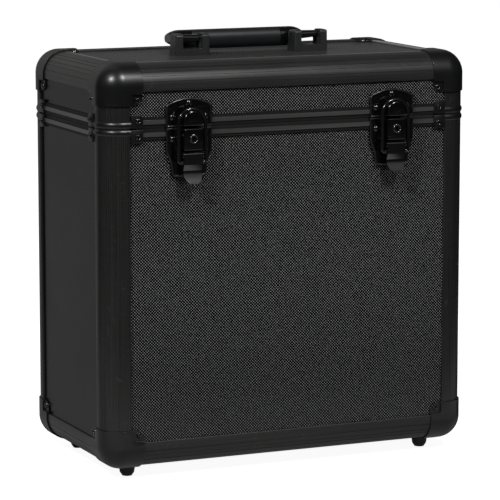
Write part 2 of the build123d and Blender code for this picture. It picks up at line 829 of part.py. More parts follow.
def hinge_leaf(lid):
    """A leaf with its knuckles; the lid's leaf has the even ones and the stops."""
    sign = 1 if lid else -1
    half = hinge_width / 2
    spans = knuckle_spans()
    mine = spans[1::2] if lid else spans[0::2]
    others = spans[0::2] if lid else spans[1::2]
    low, high = sorted((0, sign * hinge_leaf_height))
    leaf = block(-half, half, cap_gap, hinge_leaf_wall, low, high)
    outer = [e for e in leaf.edges().filter_by(Axis.Y) if abs(e.center().Z) > hinge_leaf_height - 1]
    leaf = fillet(outer, hinge_leaf_round)
    reach = hinge_knuckle_radius + hinge_leaf_play
    for x0, x1 in others:
        leaf -= block(x0 - hinge_knuckle_gap / 2, x1 + hinge_knuckle_gap / 2, -1, 20, -reach, reach)
    for x0, x1 in mine:
        start = x0 + (hinge_knuckle_gap / 2 if x0 > -half else 0)
        stop = x1 - (hinge_knuckle_gap / 2 if x1 < half else 0)
        leaf -= block(x0, x1, -1, 20, *sorted((-sign * reach, 0)))
        leaf += rod_x(start, stop, hinge_axis_depth, 0, hinge_knuckle_radius)
        root = sorted((0, sign * (hinge_knuckle_radius + hinge_root)))
        leaf += block(start, stop, cap_gap, hinge_axis_depth, *root)
        if lid:
            stop_end = hinge_axis_depth + hinge_stop_length
            wall = hinge_stop_wall / 2
            leaf += block(start, stop, hinge_axis_depth, stop_end, -wall, wall)
    return leaf - rod_x(-half - 1, half + 1, hinge_axis_depth, 0, hinge_pin_radius + running_fit)


def hinge_pin():
    end = hinge_width / 2 + hinge_pin_play
    pin = rod_x(-end, end, hinge_axis_depth, 0, hinge_pin_radius)
    for side in (-1, 1):
        inner, outer = sorted((side * end, side * (end + hinge_pin_head)))
        pin += rod_x(inner, outer, hinge_axis_depth, 0, hinge_pin_head_radius)
    return pin


def hinge_rivet_places(lid):
    sign = 1 if lid else -1
    near = seam_height + sign * hinge_near_rivet
    far = seam_height + sign * hinge_far_rivet
    return [(-hinge_rivet_offset, near), (hinge_rivet_offset, near), (0, far)]


# Handle, drawn about x = 0 with its pin axis at y = 0

axis_height = top_face + handle_axis_height


def arm_slope():
    """Angle by which the folded handle's arms lean down."""
    return math.atan2(handle_drop, handle_arm_length)


def bracket_stops():
    """Nibs before and behind the pin, cut to the underside of a folded arm."""
    start = bracket_post_width - 0.2
    end = bracket_post_width + bracket_stop_width
    nib = block(start, end, bracket_stop_start, bracket_post_back, top_face, axis_height)
    widening = (handle_arm_radius - handle_barrel_radius) / handle_arm_length
    under = handle_barrel_radius + widening * bracket_post_back + bracket_stop_gap
    cut = block(start - 1, end + 1, -50, 50, -under, 50)
    cut = Pos(0, 0, axis_height) * Rot(-math.degrees(arm_slope()), 0, 0) * cut
    nib -= cut
    return nib + mirror_y(nib)


def bracket(side):
    """A foot plate with two posts, flush with its front, that hold the pin."""
    half = bracket_width / 2
    front = -bracket_depth / 2
    plate = block(-half, half, front, -front, top_face, top_face + bracket_base_height)
    post = block(0, bracket_post_width, front, bracket_post_back, top_face, top_face + bracket_height)
    crown = post.faces().sort_by(Axis.Z)[-1].edges().filter_by(Axis.X)
    post = fillet(crown, bracket_round)
    left = Pos(-half, 0, 0) * (post + bracket_stops())
    body = plate + left + mirror_x(left)
    plan = RectangleRounded(bracket_width, bracket_depth, bracket_corner)
    body &= Pos(0, 0, top_face) * extrude(plan, bracket_height + 1)
    view = RectangleRounded(bracket_width, 2 * bracket_height, bracket_shoulder)
    body &= Pos(0, 0, top_face) * extrude(Plane.XZ * view, bracket_depth, both=True)
    body -= rod_x(-half - 1, half + 1, 0, axis_height, handle_pin_radius)
    for x in (-bracket_screw_offset, bracket_screw_offset):
        body -= rod_z(x, 0, top_face - 1, top_face + bracket_base_height - 1, screw_radius)
    return Pos(side * bracket_offset, 0, 0) * body


def bracket_screws(side):
    """Screws from inside the lid, each with its bore in the panel and its pocket."""
    under = case_height - panel_back
    groups = []
    for x in (-bracket_screw_offset, bracket_screw_offset):
        head = rod_z(0, 0, under - screw_head_height, under, screw_head_radius)
        shank = rod_z(0, 0, under - 0.1, top_face + bracket_base_height - 1, screw_radius)
        bore = rod_z(0, 0, under, top_face, screw_radius + rivet_play)
        pocket_low = under - screw_head_height - lining_pocket_play
        pocket = rod_z(0, 0, pocket_low, under, screw_head_radius + lining_pocket_play)
        place = Pos(side * bracket_offset + x, 0, 0)
        groups.append([place * (head + shank), place * bore, place * pocket])
    return groups


def handle_pin(side):
    half = bracket_width / 2
    middle = side * bracket_offset
    return rod_x(middle - half, middle + half, 0, axis_height, handle_pin_radius)


def frame_taper(start, end):
    """The rounded end of the handle's frame, along X from one radius to the other."""
    length = end - start
    drop = grip_radius - handle_arm_radius
    curve = (length ** 2 + drop ** 2) / (2 * drop)
    middle = grip_radius - curve + math.sqrt(curve ** 2 - (length / 2) ** 2)
    arc = ThreePointArc((start, grip_radius), (start + length / 2, middle), (end, handle_arm_radius))
    sides = Polyline((end, handle_arm_radius), (end, 0), (start, 0), (start, grip_radius))
    return revolve(make_face([arc, sides]), Axis.X)


def frame_collar():
    """The grooved collar at an end of the grip, about the X axis."""
    collar = rod_x(grip_half_length, grip_collar_end, 0, 0, grip_radius)
    for x in collar_grooves:
        ring = rod_x(x, x + collar_groove_width, 0, 0, grip_radius + 1)
        collar -= ring - rod_x(x, x + collar_groove_width, 0, 0, grip_radius - collar_groove_depth)
    return collar


def handle_frame():
    """The rigid core under the grip, with an arm to the barrel on each pin."""
    window = bracket_width / 2 - bracket_post_width
    near = bracket_offset - window + handle_side_gap
    far = bracket_offset + window - handle_side_gap
    grip_z = axis_height - handle_drop
    width = far - near
    slope = arm_slope()
    barrel = Pos(0, axis_height) * Circle(handle_barrel_radius)
    rear = Pos(handle_arm_length, grip_z) * Circle(handle_arm_radius)
    shift_y = math.sin(slope)
    shift_z = math.cos(slope)
    arm = outline_of(
        (handle_barrel_radius * shift_y, axis_height + handle_barrel_radius * shift_z),
        (handle_arm_length + handle_arm_radius * shift_y, grip_z + handle_arm_radius * shift_z),
        (handle_arm_length - handle_arm_radius * shift_y, grip_z - handle_arm_radius * shift_z),
        (-handle_barrel_radius * shift_y, axis_height - handle_barrel_radius * shift_z),
    )
    ear = Pos(near, 0, 0) * extrude(Plane.YZ * (barrel + rear + arm), width)
    collar = frame_collar() + frame_taper(grip_collar_end, far)
    end = ear + Pos(0, handle_arm_length, grip_z) * collar
    end -= rod_x(near - 1, far + 1, 0, axis_height, handle_pin_radius + running_fit)
    core = rod_x(-grip_half_length, grip_half_length, handle_arm_length, grip_z, grip_core_radius)
    return end + core + mirror_x(end)


def handle_grip():
    grip_z = axis_height - handle_drop
    end = grip_half_length - 0.1
    sleeve = rod_x(-end, end, handle_arm_length, grip_z, grip_radius)
    return sleeve - rod_x(-end - 1, end + 1, handle_arm_length, grip_z, grip_core_radius + grip_fit)


# Build everything

sides = (-1, 1)
names = {(False, False): "front_left", (False, True): "back_left",
         (True, False): "front_right", (True, True): "back_right"}

body_fixings = []
lid_fixings = []
for right, back in corners:
    body_fixings += corner_rivets(right, back, False, (1, 2))
    lid_fixings += corner_rivets(right, back, True, (0, 1, 2))
    body_fixings += strap_rivets(right, back, False)
    lid_fixings += strap_rivets(right, back, True)
for side in sides:
    for x, z in hinge_rivet_places(False):
        body_fixings.append(face_rivet(side * hinge_offset + x, z, hinge_leaf_wall, True,
                                       rivet_head_radius, rivet_head_height))
    for x, z in hinge_rivet_places(True):
        lid_fixings.append(face_rivet(side * hinge_offset + x, z, hinge_leaf_wall, True,
                                      rivet_head_radius, rivet_head_height))

base_fixings = []
keeper_fixings = []
for side in sides:
    for x, z in [(-latch_rivet_offset, keeper_rivet_height), (latch_rivet_offset, keeper_rivet_height),
                 (0, keeper_top_rivet)]:
        keeper_fixings.append(face_rivet(side * latch_offset + x, seam_height + z, plate_wall, False,
                                         latch_rivet_head_radius, latch_rivet_head_height))
    for x, z in [(-latch_rivet_offset, base_rivet_drop), (latch_rivet_offset, base_rivet_drop),
                 (0, base_low_rivet)]:
        base_fixings.append(face_rivet(side * latch_offset + x, seam_height - z, plate_wall, False,
                                       latch_rivet_head_radius, latch_rivet_head_height))

foot_parts = [[at_corner(shape, right, back, False) for shape in foot_screw()] for right, back in corners]
bracket_parts = bracket_screws(-1) + bracket_screws(1)

body_fastened = body_fixings + base_fixings + foot_parts
lid_fastened = lid_fixings + keeper_fixings + bracket_parts
body_bores = [group[1] for group in body_fastened]
lid_bores = [group[1] for group in lid_fastened]
body_pockets = [group[2] for group in body_fastened]
lid_pockets = [group[2] for group in lid_fastened]

body_front = front_panel(panel_inset, body_rim_seat)
body_left = side_panel(panel_inset, body_rim_seat)
lid_front = front_panel(lid_rim_seat, case_height - panel_inset)
lid_left = side_panel(lid_rim_seat, case_height - panel_inset)
for name, panel, bores in [
    ("body_front_panel", body_front, body_bores),
    ("body_back_panel", mirror_y(body_front), body_bores),
    ("body_left_panel", body_left, body_bores),
    ("body_right_panel", mirror_x(body_left), body_bores),
    ("bottom_panel", level_panel(panel_face, panel_back), body_bores),
    ("lid_front_panel", lid_front, lid_bores),
    ("lid_back_panel", mirror_y(lid_front), lid_bores),
    ("lid_left_panel", lid_left, lid_bores),
    ("lid_right_panel", mirror_x(lid_left), lid_bores),
    ("lid_top_panel", level_panel(case_height - panel_back, top_face), lid_bores),
]:
    save(name, cut_all([panel], bores))

for (right, back), name in names.items():
    save(f"body_edge_{name}", [upright_edge(right, back, False)])
    save(f"bottom_corner_cap_{name}", cut_all([at_corner(corner_cap(), right, back, False)], body_bores))
    save(f"lid_corner_cap_{name}", cut_all([at_corner(corner_cap(), right, back, True)], lid_bores))
save("lid_corner_edges", [upright_edge(right, back, True) for right, back in corners])
save("bottom_edges", level_edges(False))
save("lid_top_edges", level_edges(True))
save("body_rim", cut_all(rims(body_rim_section()), body_bores))
save("lid_rim", cut_all(rims(lid_rim_section()), lid_bores))
save("body_corner_straps", cut_all([corner_strap(r, b, False) for r, b in corners], body_bores))
save("lid_corner_straps", cut_all([corner_strap(r, b, True) for r, b in corners], lid_bores))
save("body_rivets", [group[0] for group in body_fixings])
save("lid_rivets", [group[0] for group in lid_fixings])
save("latch_base_rivets", [group[0] for group in base_fixings])
save("keeper_rivets", [group[0] for group in keeper_fixings])
save("feet", [at_corner(foot(), right, back, False) for right, back in corners])
save("foot_screws", [group[0] for group in foot_parts])
save("handle_bracket_screws", [group[0] for group in bracket_parts])

edge_margin = edge_flange + lining_margin
rim_margin = rim_height + lining_margin
body_pads = lining_pads(edge_margin, seam_height - rim_margin,
                        lining_face, lining_face + lining_thickness)
lid_pads = lining_pads(seam_height + rim_margin, case_height - edge_margin,
                       case_height - lining_face - lining_thickness, case_height - lining_face)
save("body_lining", cut_all(body_pads, body_pockets))
save("lid_lining", cut_all(lid_pads, lid_pockets))

for side, name in [(-1, "left"), (1, "right")]:
    save(f"latch_keeper_{name}", cut_all([at_latch(keeper(), side)], lid_bores))
    save(f"latch_base_{name}", cut_all([at_latch(latch_base(), side)], body_bores))
    save(f"lock_housing_{name}", [at_latch(lock_housing(), side)])
    save(f"key_plug_{name}", [at_latch(key_plug(), side)])
    save(f"latch_lever_{name}", [at_latch(lever(), side)])
    save(f"latch_bail_{name}", [at_latch(bail(), side)])
    save(f"handle_bracket_{name}", [bracket(side)])
save("lever_pins", [at_latch(lever_pin(), side) for side in sides])
save("hinge_body_leaves", cut_all([at_hinge(hinge_leaf(False), side) for side in sides], body_bores))
save("hinge_lid_leaves", cut_all([at_hinge(hinge_leaf(True), side) for side in sides], lid_bores))
save("hinge_pins", [at_hinge(hinge_pin(), side) for side in sides])
save("handle_pins", [handle_pin(side) for side in sides])
save("handle_frame", [handle_frame()])
save("handle_grip", [handle_grip()])
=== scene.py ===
import json
import math

import bmesh
import bpy
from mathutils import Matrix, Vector

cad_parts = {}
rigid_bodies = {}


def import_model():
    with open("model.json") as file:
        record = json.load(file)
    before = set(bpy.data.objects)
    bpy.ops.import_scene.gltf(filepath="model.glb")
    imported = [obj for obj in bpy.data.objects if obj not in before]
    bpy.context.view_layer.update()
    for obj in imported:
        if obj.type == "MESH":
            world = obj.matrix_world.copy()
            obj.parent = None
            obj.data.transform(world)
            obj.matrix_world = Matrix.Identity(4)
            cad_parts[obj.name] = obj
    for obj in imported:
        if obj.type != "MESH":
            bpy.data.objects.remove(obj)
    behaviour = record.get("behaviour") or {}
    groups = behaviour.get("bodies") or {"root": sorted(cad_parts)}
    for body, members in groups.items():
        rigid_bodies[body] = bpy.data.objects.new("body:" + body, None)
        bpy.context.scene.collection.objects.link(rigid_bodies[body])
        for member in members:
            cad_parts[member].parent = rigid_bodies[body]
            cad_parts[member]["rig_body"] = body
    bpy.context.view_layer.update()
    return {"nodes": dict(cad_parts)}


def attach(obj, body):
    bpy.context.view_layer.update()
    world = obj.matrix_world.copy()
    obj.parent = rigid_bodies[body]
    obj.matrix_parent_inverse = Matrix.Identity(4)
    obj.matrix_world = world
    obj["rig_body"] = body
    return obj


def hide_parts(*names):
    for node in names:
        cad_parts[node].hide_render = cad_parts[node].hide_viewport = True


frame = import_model()
nodes = frame["nodes"]
mm = 0.001

# The case's frame, in millimetres from the middle of its width and depth and from its underside
case = {
    "halfWidth": 176.0,
    "halfDepth": 92.0,
    "height": 355.0,
    "seam": 299.6,
    "shiftBack": 1.4,  # from the origin to the middle of the depth
    "footDrop": 11.0,  # height of the underside over the floor
}


def place(x, y, z):
    return Vector((x * mm, (y + case["shiftBack"]) * mm, (z + case["footDrop"]) * mm))


# Camera

camera = {
    "place": (-1.06844, -2.40094, 0.59489),
    "turn": 0.4189,  # to the right of the +Y axis, in radians
    "tilt": -0.1553,
    "lens": 209.77,
    "sensor": 36.0,
}


def makeCamera():
    data = bpy.data.cameras.new("camera")
    data.lens = camera["lens"]
    data.sensor_width = camera["sensor"]
    obj = bpy.data.objects.new("camera", data)
    obj.location = camera["place"]
    obj.rotation_euler = (math.pi / 2 + camera["tilt"], 0, -camera["turn"])
    bpy.context.scene.collection.objects.link(obj)
    bpy.context.scene.camera = obj


# Small helpers for shader nodes

def newGroup(name, inputs, outputs):  # an input given as None is a vector
    group = bpy.data.node_groups.new(name, "ShaderNodeTree")
    for label, value in inputs.items():
        kind = "NodeSocketVector" if value is None else "NodeSocketFloat"
        socket = group.interface.new_socket(label, in_out="INPUT", socket_type=kind)
        if value is not None:
            socket.default_value = value
    for label in outputs:
        group.interface.new_socket(label, in_out="OUTPUT", socket_type="NodeSocketFloat")
    given = group.nodes.new("NodeGroupInput").outputs
    out = group.nodes.new("NodeGroupOutput").inputs
    return group, given, out


def feed(tree, socket, value):  # a link from another node, or a plain value
    if isinstance(value, bpy.types.NodeSocket):
        tree.links.new(value, socket)
    else:
        socket.default_value = value


def maths(tree, operation, first, second=0.0, clamp=False):
    node = tree.nodes.new("ShaderNodeMath")
    node.operation = operation
    node.use_clamp = clamp
    for socket, value in zip(node.inputs, (first, second)):
        feed(tree, socket, value)
    return node.outputs[0]


def remap(tree, value, fromLow, fromHigh, toLow, toHigh, smooth=False):
    node = tree.nodes.new("ShaderNodeMapRange")
    if smooth:
        node.interpolation_type = "SMOOTHSTEP"
    labels = ("Value", "From Min", "From Max", "To Min", "To Max")
    for label, number in zip(labels, (value, fromLow, fromHigh, toLow, toHigh)):
        feed(tree, node.inputs[label], number)
    return node.outputs["Result"]


def noise(tree, vector, scale, detail, rough):
    node = tree.nodes.new("ShaderNodeTexNoise")
    feed(tree, node.inputs["Vector"], vector)
    feed(tree, node.inputs["Scale"], scale)
    node.inputs["Detail"].default_value = detail
    node.inputs["Roughness"].default_value = rough
    return node.outputs["Fac"]


def split(tree, vector):
    node = tree.nodes.new("ShaderNodeSeparateXYZ")
    tree.links.new(vector, node.inputs[0])
    return node.outputs


def stretched(tree, vector, scale):
    node = tree.nodes.new("ShaderNodeVectorMath")
    node.operation = "MULTIPLY"
    feed(tree, node.inputs[0], vector)
    feed(tree, node.inputs[1], scale)
    return node.outputs[0]


def lengthOf(tree, vector, scale):
    node = tree.nodes.new("ShaderNodeVectorMath")
    node.operation = "LENGTH"
    tree.links.new(stretched(tree, vector, scale), node.inputs[0])
    return node.outputs["Value"]


def mixColour(tree, factor, first, second):
    node = tree.nodes.new("ShaderNodeMix")
    node.data_type = "RGBA"
    feed(tree, node.inputs["Factor"], factor)
    feed(tree, node.inputs[6], first)
    feed(tree, node.inputs[7], second)
    return node.outputs[2]


def useGroup(tree, group, **inputs):
    node = tree.nodes.new("ShaderNodeGroup")
    node.node_tree = group
    for label, value in inputs.items():
        feed(tree, node.inputs[label], value)
    return node.outputs


def bump(tree, height, strength, distance):
    node = tree.nodes.new("ShaderNodeBump")
    node.inputs["Strength"].default_value = strength
    node.inputs["Distance"].default_value = distance
    tree.links.new(height, node.inputs["Height"])
    return node.outputs["Normal"]


# Backdrop, floor and lights, in metres

studio = {
    "white": (1, 1, 1, 1),
    "floorSize": 30.0,
    "floorRough": 0.9,
    "floorShine": 0.1,
    "floorColour": 0.80,
    "floorGlow": 0.94,  # as the camera sees it, so that the floor fades into the backdrop
    "floorShade": 0.05,  # how pale the case sees the lit floor
    "floorNear": 0.6,  # glow that the case mirrors in front of it, behind it and elsewhere
    "floorBack": 0.21,
    "floorFar": 0.004,
    "nearRing": (0.20, 0.235, 0.28, 0.38),  # where that glow starts, is full, falls and ends
    "closeGlow": (0.11, 0.20, 0.28, 0.08),  # the weak glow inside the ring: from, to and strengths
    "frontEdge": (-0.10, -0.02),  # y between which the front's glow fades out
    "besideEdge": (0.12, 0.24),  # y between which the glow behind the case starts
    "leftEdge": (-0.15, -0.19),  # x between which the glow to its left starts
    "besideReach": (0.40, 0.60),
    "widthShare": 0.52,  # the case's depth over its width, so that the ring follows its outline
    "backdropEdge": (0.70, 0.79),  # how squarely a direction has to point back to meet the backdrop
    "skyBack": 0.23,
    "skyTurn": (-0.1, 0.3),  # from left to right, where the backdrop's glow changes
    "skyRight": 0.55,  # its share on the right
    "skyFront": 0.012,
    "softBox": (0.402, -0.735, 0.54),  # direction of a soft panel in front of the case
    "softReach": (0.955, 0.985),
    "softGlow": 0.38,
    "lights": [  # name, place, aim, size, power in watts
        ("leftLight", (-1.79, -1.20, 1.96), (0, 0, 0.2), 0.5, 34),
        ("frontLight", (0.27, -1.70, 2.04), (0, 0, 0.2), 0.5, 28),
    ],
}


def seenOrMirrored(tree, seen, mirrored):  # one value for the camera, another for all other rays
    path = tree.nodes.new("ShaderNodeLightPath")
    mix = tree.nodes.new("ShaderNodeMix")
    feed(tree, mix.inputs["Factor"], path.outputs["Is Camera Ray"])
    feed(tree, mix.inputs[2], mirrored)
    feed(tree, mix.inputs[3], seen)
    return mix.outputs[0]


def bearing(tree, vector):  # how far a direction points behind the case, and how far to its right
    axes = split(tree, vector)
    nearZero = 0.0001
    reach = maths(tree, "MAXIMUM", lengthOf(tree, vector, (1.0, 1.0, 0.0)), nearZero)
    back = maths(tree, "DIVIDE", axes[1], reach)
    behind = remap(tree, back, *studio["backdropEdge"], 0.0, 1.0, smooth=True)
    return behind, maths(tree, "DIVIDE", axes[0], reach)


def makeSky():
    world = bpy.data.worlds.new("studio")
    world.use_nodes = True
    tree = world.node_tree
    direction = tree.nodes.new("ShaderNodeTexCoord").outputs["Generated"]
    behind, right = bearing(tree, direction)
    share = remap(tree, right, *studio["skyTurn"], 1.0, studio["skyRight"], smooth=True)
    glow = maths(tree, "MULTIPLY", behind, maths(tree, "MULTIPLY", share, studio["skyBack"]))
    glow = maths(tree, "ADD", glow, studio["skyFront"])
    toPanel = tree.nodes.new("ShaderNodeVectorMath")
    toPanel.operation = "DOT_PRODUCT"
    tree.links.new(direction, toPanel.inputs[0])
    toPanel.inputs[1].default_value = studio["softBox"]
    aimed = toPanel.outputs["Value"]
    panel = remap(tree, aimed, *studio["softReach"], 0.0, studio["softGlow"], smooth=True)
    glow = maths(tree, "ADD", glow, panel)
    background = tree.nodes["Background"]
    background.inputs["Color"].default_value = studio["white"]
    tree.links.new(seenOrMirrored(tree, 1.0, glow), background.inputs["Strength"])
    bpy.context.scene.world = world
    bpy.context.scene.view_settings.view_transform = "Standard"


def mirroredGlow(tree, where):  # what the case sees of each spot of the floor
    axes = split(tree, where)
    out = lengthOf(tree, where, (studio["widthShare"], 1.0, 0.0))
    start, full, fall, end = studio["nearRing"]
    rise = remap(tree, out, start, full, 0.0, 1.0, smooth=True)
    near = remap(tree, out, fall, end, studio["floorNear"], studio["floorFar"], smooth=True)
    near = maths(tree, "MULTIPLY", near, rise)
    close = remap(tree, out, *studio["closeGlow"])
    close = maths(tree, "MULTIPLY", close, maths(tree, "SUBTRACT", 1.0, rise))
    inFront = remap(tree, axes[1], *studio["frontEdge"], 1.0, 0.0, smooth=True)
    near = maths(tree, "MULTIPLY", maths(tree, "ADD", near, close), inFront)
    beside = remap(tree, axes[1], *studio["besideEdge"], 0.0, 1.0, smooth=True)
    toLeft = remap(tree, axes[0], *studio["leftEdge"], 0.0, 1.0, smooth=True)
    beside = maths(tree, "MAXIMUM", beside, toLeft)
    reached = remap(tree, out, *studio["besideReach"], 1.0, 0.0, smooth=True)
    behind = bearing(tree, where)[0]
    behind = maths(tree, "MAXIMUM", behind, maths(tree, "MULTIPLY", beside, reached))
    return maths(tree, "MAXIMUM", near, maths(tree, "MULTIPLY", behind, studio["floorBack"]))


def makeFloor():
    half = studio["floorSize"] / 2
    mesh = bpy.data.meshes.new("floor")
    corners = [(-half, -half, 0), (half, -half, 0), (half, half, 0), (-half, half, 0)]
    mesh.from_pydata(corners, [], [(0, 1, 2, 3)])
    floor = bpy.data.objects.new("floor", mesh)
    bpy.context.scene.collection.objects.link(floor)
    material = bpy.data.materials.new("paleFloor")
    material.use_nodes = True
    tree = material.node_tree
    shader = tree.nodes["Principled BSDF"]
    pale = seenOrMirrored(tree, studio["floorColour"], studio["floorShade"])
    tree.links.new(pale, shader.inputs["Base Color"])
    shader.inputs["Roughness"].default_value = studio["floorRough"]
    shader.inputs["Specular IOR Level"].default_value = studio["floorShine"]
    shader.inputs["Emission Color"].default_value = studio["white"]
    where = tree.nodes.new("ShaderNodeTexCoord").outputs["Object"]
    glow = seenOrMirrored(tree, studio["floorGlow"], mirroredGlow(tree, where))
    tree.links.new(glow, shader.inputs["Emission Strength"])
    mesh.materials.append(material)


def makeLights():
    for name, where, aim, size, power in studio["lights"]:
        data = bpy.data.lights.new(name, "AREA")
        data.shape = "DISK"
        data.size = size
        data.energy = power
        light = bpy.data.objects.new(name, data)
        light.location = where
        light.rotation_euler = (Vector(aim) - Vector(where)).to_track_quat("-Z", "Y").to_euler()
        bpy.context.scene.collection.objects.link(light)


# Shader groups that several finishes share

effects = {  # a noise is its scale, detail and roughness
    "grain": (4.0, 0.6),  # detail and roughness: each finish gives the scale
    "cloud": (14.0, 3.0, 0.6),
    "specks": (420.0, 2.0, 0.7),
    "speckEdge": (0.66, 0.78),
    "patches": (22.0, 4.0, 0.6),
    "patchEdge": (0.45, 0.75),
    "scratchAxis": (0.4, 0.7, 0.6),
    "scratchTurns": [  # turn in radians, and how the noise is drawn out into lines
        (0.4, (60, 900, 60)),
        (1.9, (900, 50, 70)),
        (2.7, (80, 60, 900)),
    ],
    "scratchNoise": (1.0, 1.0, 0.5),
    "scratchEdge": (0.70, 0.76),
    "paleDust": (0.3, 0.3, 0.29, 1),
    "softDust": (0.25, 0.25, 0.24, 1),
    "span": (0.3, 0.7),  # between which most of a noise lies
    "upperSpan": (0.35, 0.7),
}


def makeGrain():
    inputs = {"Vector": None, "Scale": 900.0}
    group, given, out = newGroup("fineGrain", inputs, ["Grain", "Cloud"])
    fine = noise(group, given["Vector"], given["Scale"], *effects["grain"])
    cloud = noise(group, given["Vector"], *effects["cloud"])
    group.links.new(fine, out["Grain"])
    group.links.new(cloud, out["Cloud"])
    return group


def makeDust():  # fine specks that gather in patches
    group, given, out = newGroup("dustSpecks", {"Vector": None, "Amount": 0.5}, ["Dust"])
    specks = noise(group, given["Vector"], *effects["specks"])
    patches = noise(group, given["Vector"], *effects["patches"])
    sharp = remap(group, specks, *effects["speckEdge"], 0.0, 1.0)
    soft = remap(group, patches, *effects["patchEdge"], 0.0, 1.0)
    both = maths(group, "MULTIPLY", sharp, soft)
    group.links.new(maths(group, "MULTIPLY", both, given["Amount"], clamp=True), out["Dust"])
    return group


def makeScratches():  # thin lines in three directions
    group, given, out = newGroup("hairScratches", {"Vector": None, "Amount": 0.4}, ["Scratch"])
    total = 0.0
    for turn, reach in effects["scratchTurns"]:
        turned = group.nodes.new("ShaderNodeVectorRotate")
        turned.rotation_type = "AXIS_ANGLE"
        turned.inputs["Axis"].default_value = effects["scratchAxis"]
        turned.inputs["Angle"].default_value = turn
        group.links.new(given["Vector"], turned.inputs["Vector"])
        drawnOut = stretched(group, turned.outputs[0], reach)
        lines = noise(group, drawnOut, *effects["scratchNoise"])
        line = remap(group, lines, *effects["scratchEdge"], 0.0, 1.0)
        total = maths(group, "MAXIMUM", total, line)
    group.links.new(maths(group, "MULTIPLY", total, given["Amount"], clamp=True), out["Scratch"])
    return group


weave = {
    "across": 0.002723,  # pitches in metres
    "up": 0.002665,
    "lean": 0.019,  # how far the print leans, as a share
    "silverEdge": (0.45, 1.65),  # heights of the wave where a dot starts and where it is full
    "holeEdge": (0.3, -0.4),
}


def makeDiamonds():  # rows of printed dots on a diagonal lattice, with the dark holes between them
    inputs = {"Across": 0.0, "Up": 0.0}
    group, given, out = newGroup("diamondDots", inputs, ["Silver", "Hole", "Sparkle"])
    lean = maths(group, "MULTIPLY", given["Up"], weave["lean"])
    across = maths(group, "SUBTRACT", given["Across"], lean)
    across = maths(group, "DIVIDE", across, weave["across"])
    lean = maths(group, "MULTIPLY", given["Across"], weave["lean"])
    up = maths(group, "ADD", given["Up"], lean)
    up = maths(group, "DIVIDE", up, weave["up"])
    one = maths(group, "ADD", across, up)
    two = maths(group, "SUBTRACT", across, up)
    waveOne = maths(group, "COSINE", maths(group, "MULTIPLY", one, 2 * math.pi))
    waveTwo = maths(group, "COSINE", maths(group, "MULTIPLY", two, 2 * math.pi))
    height = maths(group, "ADD", waveOne, waveTwo)
    silver = remap(group, height, *weave["silverEdge"], 0.0, 1.0, smooth=True)
    hole = remap(group, height, *weave["holeEdge"], 0.0, 1.0, smooth=True)
    cell = group.nodes.new("ShaderNodeCombineXYZ")
    group.links.new(maths(group, "ROUND", one), cell.inputs[0])
    group.links.new(maths(group, "ROUND", two), cell.inputs[1])
    perCell = group.nodes.new("ShaderNodeTexWhiteNoise")
    group.links.new(cell.outputs[0], perCell.inputs["Vector"])
    group.links.new(silver, out["Silver"])
    group.links.new(hole, out["Hole"])
    group.links.new(perCell.outputs["Value"], out["Sparkle"])
    return group


barEdges = {  # metres inside the frame's outline, unless said otherwise
    "groove": (0.0002, 0.0006),
    "flange": (0.0200, 0.0222),
    "underTop": (0.002, 0.001),  # heights under the top between which the painted highlight starts
    "rearEnd": (0.066, 0.068),  # y behind the middle between which it ends
}


def insideFrame(group, vector):  # how far inside the frame's outline a spot lies, with its y and z
    x, y, z = split(group, vector)
    fromSide = maths(group, "SUBTRACT", case["halfWidth"] * mm, maths(group, "ABSOLUTE", x))
    middle = maths(group, "SUBTRACT", y, case["shiftBack"] * mm)
    fromFront = maths(group, "SUBTRACT", case["halfDepth"] * mm, maths(group, "ABSOLUTE", middle))
    return maths(group, "MINIMUM", fromSide, fromFront), middle, z


def makeGroove():  # painted shade in the groove between the rims' outer faces
    group, given, out = newGroup("rimGroove", {"Vector": None}, ["Groove"])
    depth = insideFrame(group, given["Vector"])[0]
    groove = remap(group, depth, *barEdges["groove"], 0.0, 1.0, smooth=True)
    group.links.new(groove, out["Groove"])
    return group


def makeFlangeEdge():  # a painted highlight along the edge of the top bars' flange, against the lid panel
    group, given, out = newGroup("flangeEdge", {"Vector": None}, ["Edge"])
    depth, middle, z = insideFrame(group, given["Vector"])
    inner = remap(group, depth, *barEdges["flange"], 0.0, 1.0, smooth=True)
    top = (case["height"] + case["footDrop"]) * mm
    low, high = (top - under for under in barEdges["underTop"])
    level = remap(group, z, low, high, 0.0, 1.0)
    ahead = remap(group, middle, *barEdges["rearEnd"], 1.0, 0.0)
    level = maths(group, "MULTIPLY", level, ahead)
    group.links.new(maths(group, "MULTIPLY", inner, level), out["Edge"])
    return group


groups = {
    "grain": makeGrain(),
    "dust": makeDust(),
    "scratches": makeScratches(),
    "diamonds": makeDiamonds(),
    "groove": makeGroove(),
    "flangeEdge": makeFlangeEdge(),
}
print("shader groups made")


# Finishes

def newMaterial(name):
    material = bpy.data.materials.new(name)
    material.use_nodes = True
    tree = material.node_tree
    coordinates = tree.nodes.new("ShaderNodeTexCoord")
    return material, tree, tree.nodes["Principled BSDF"], coordinates.outputs["Object"]


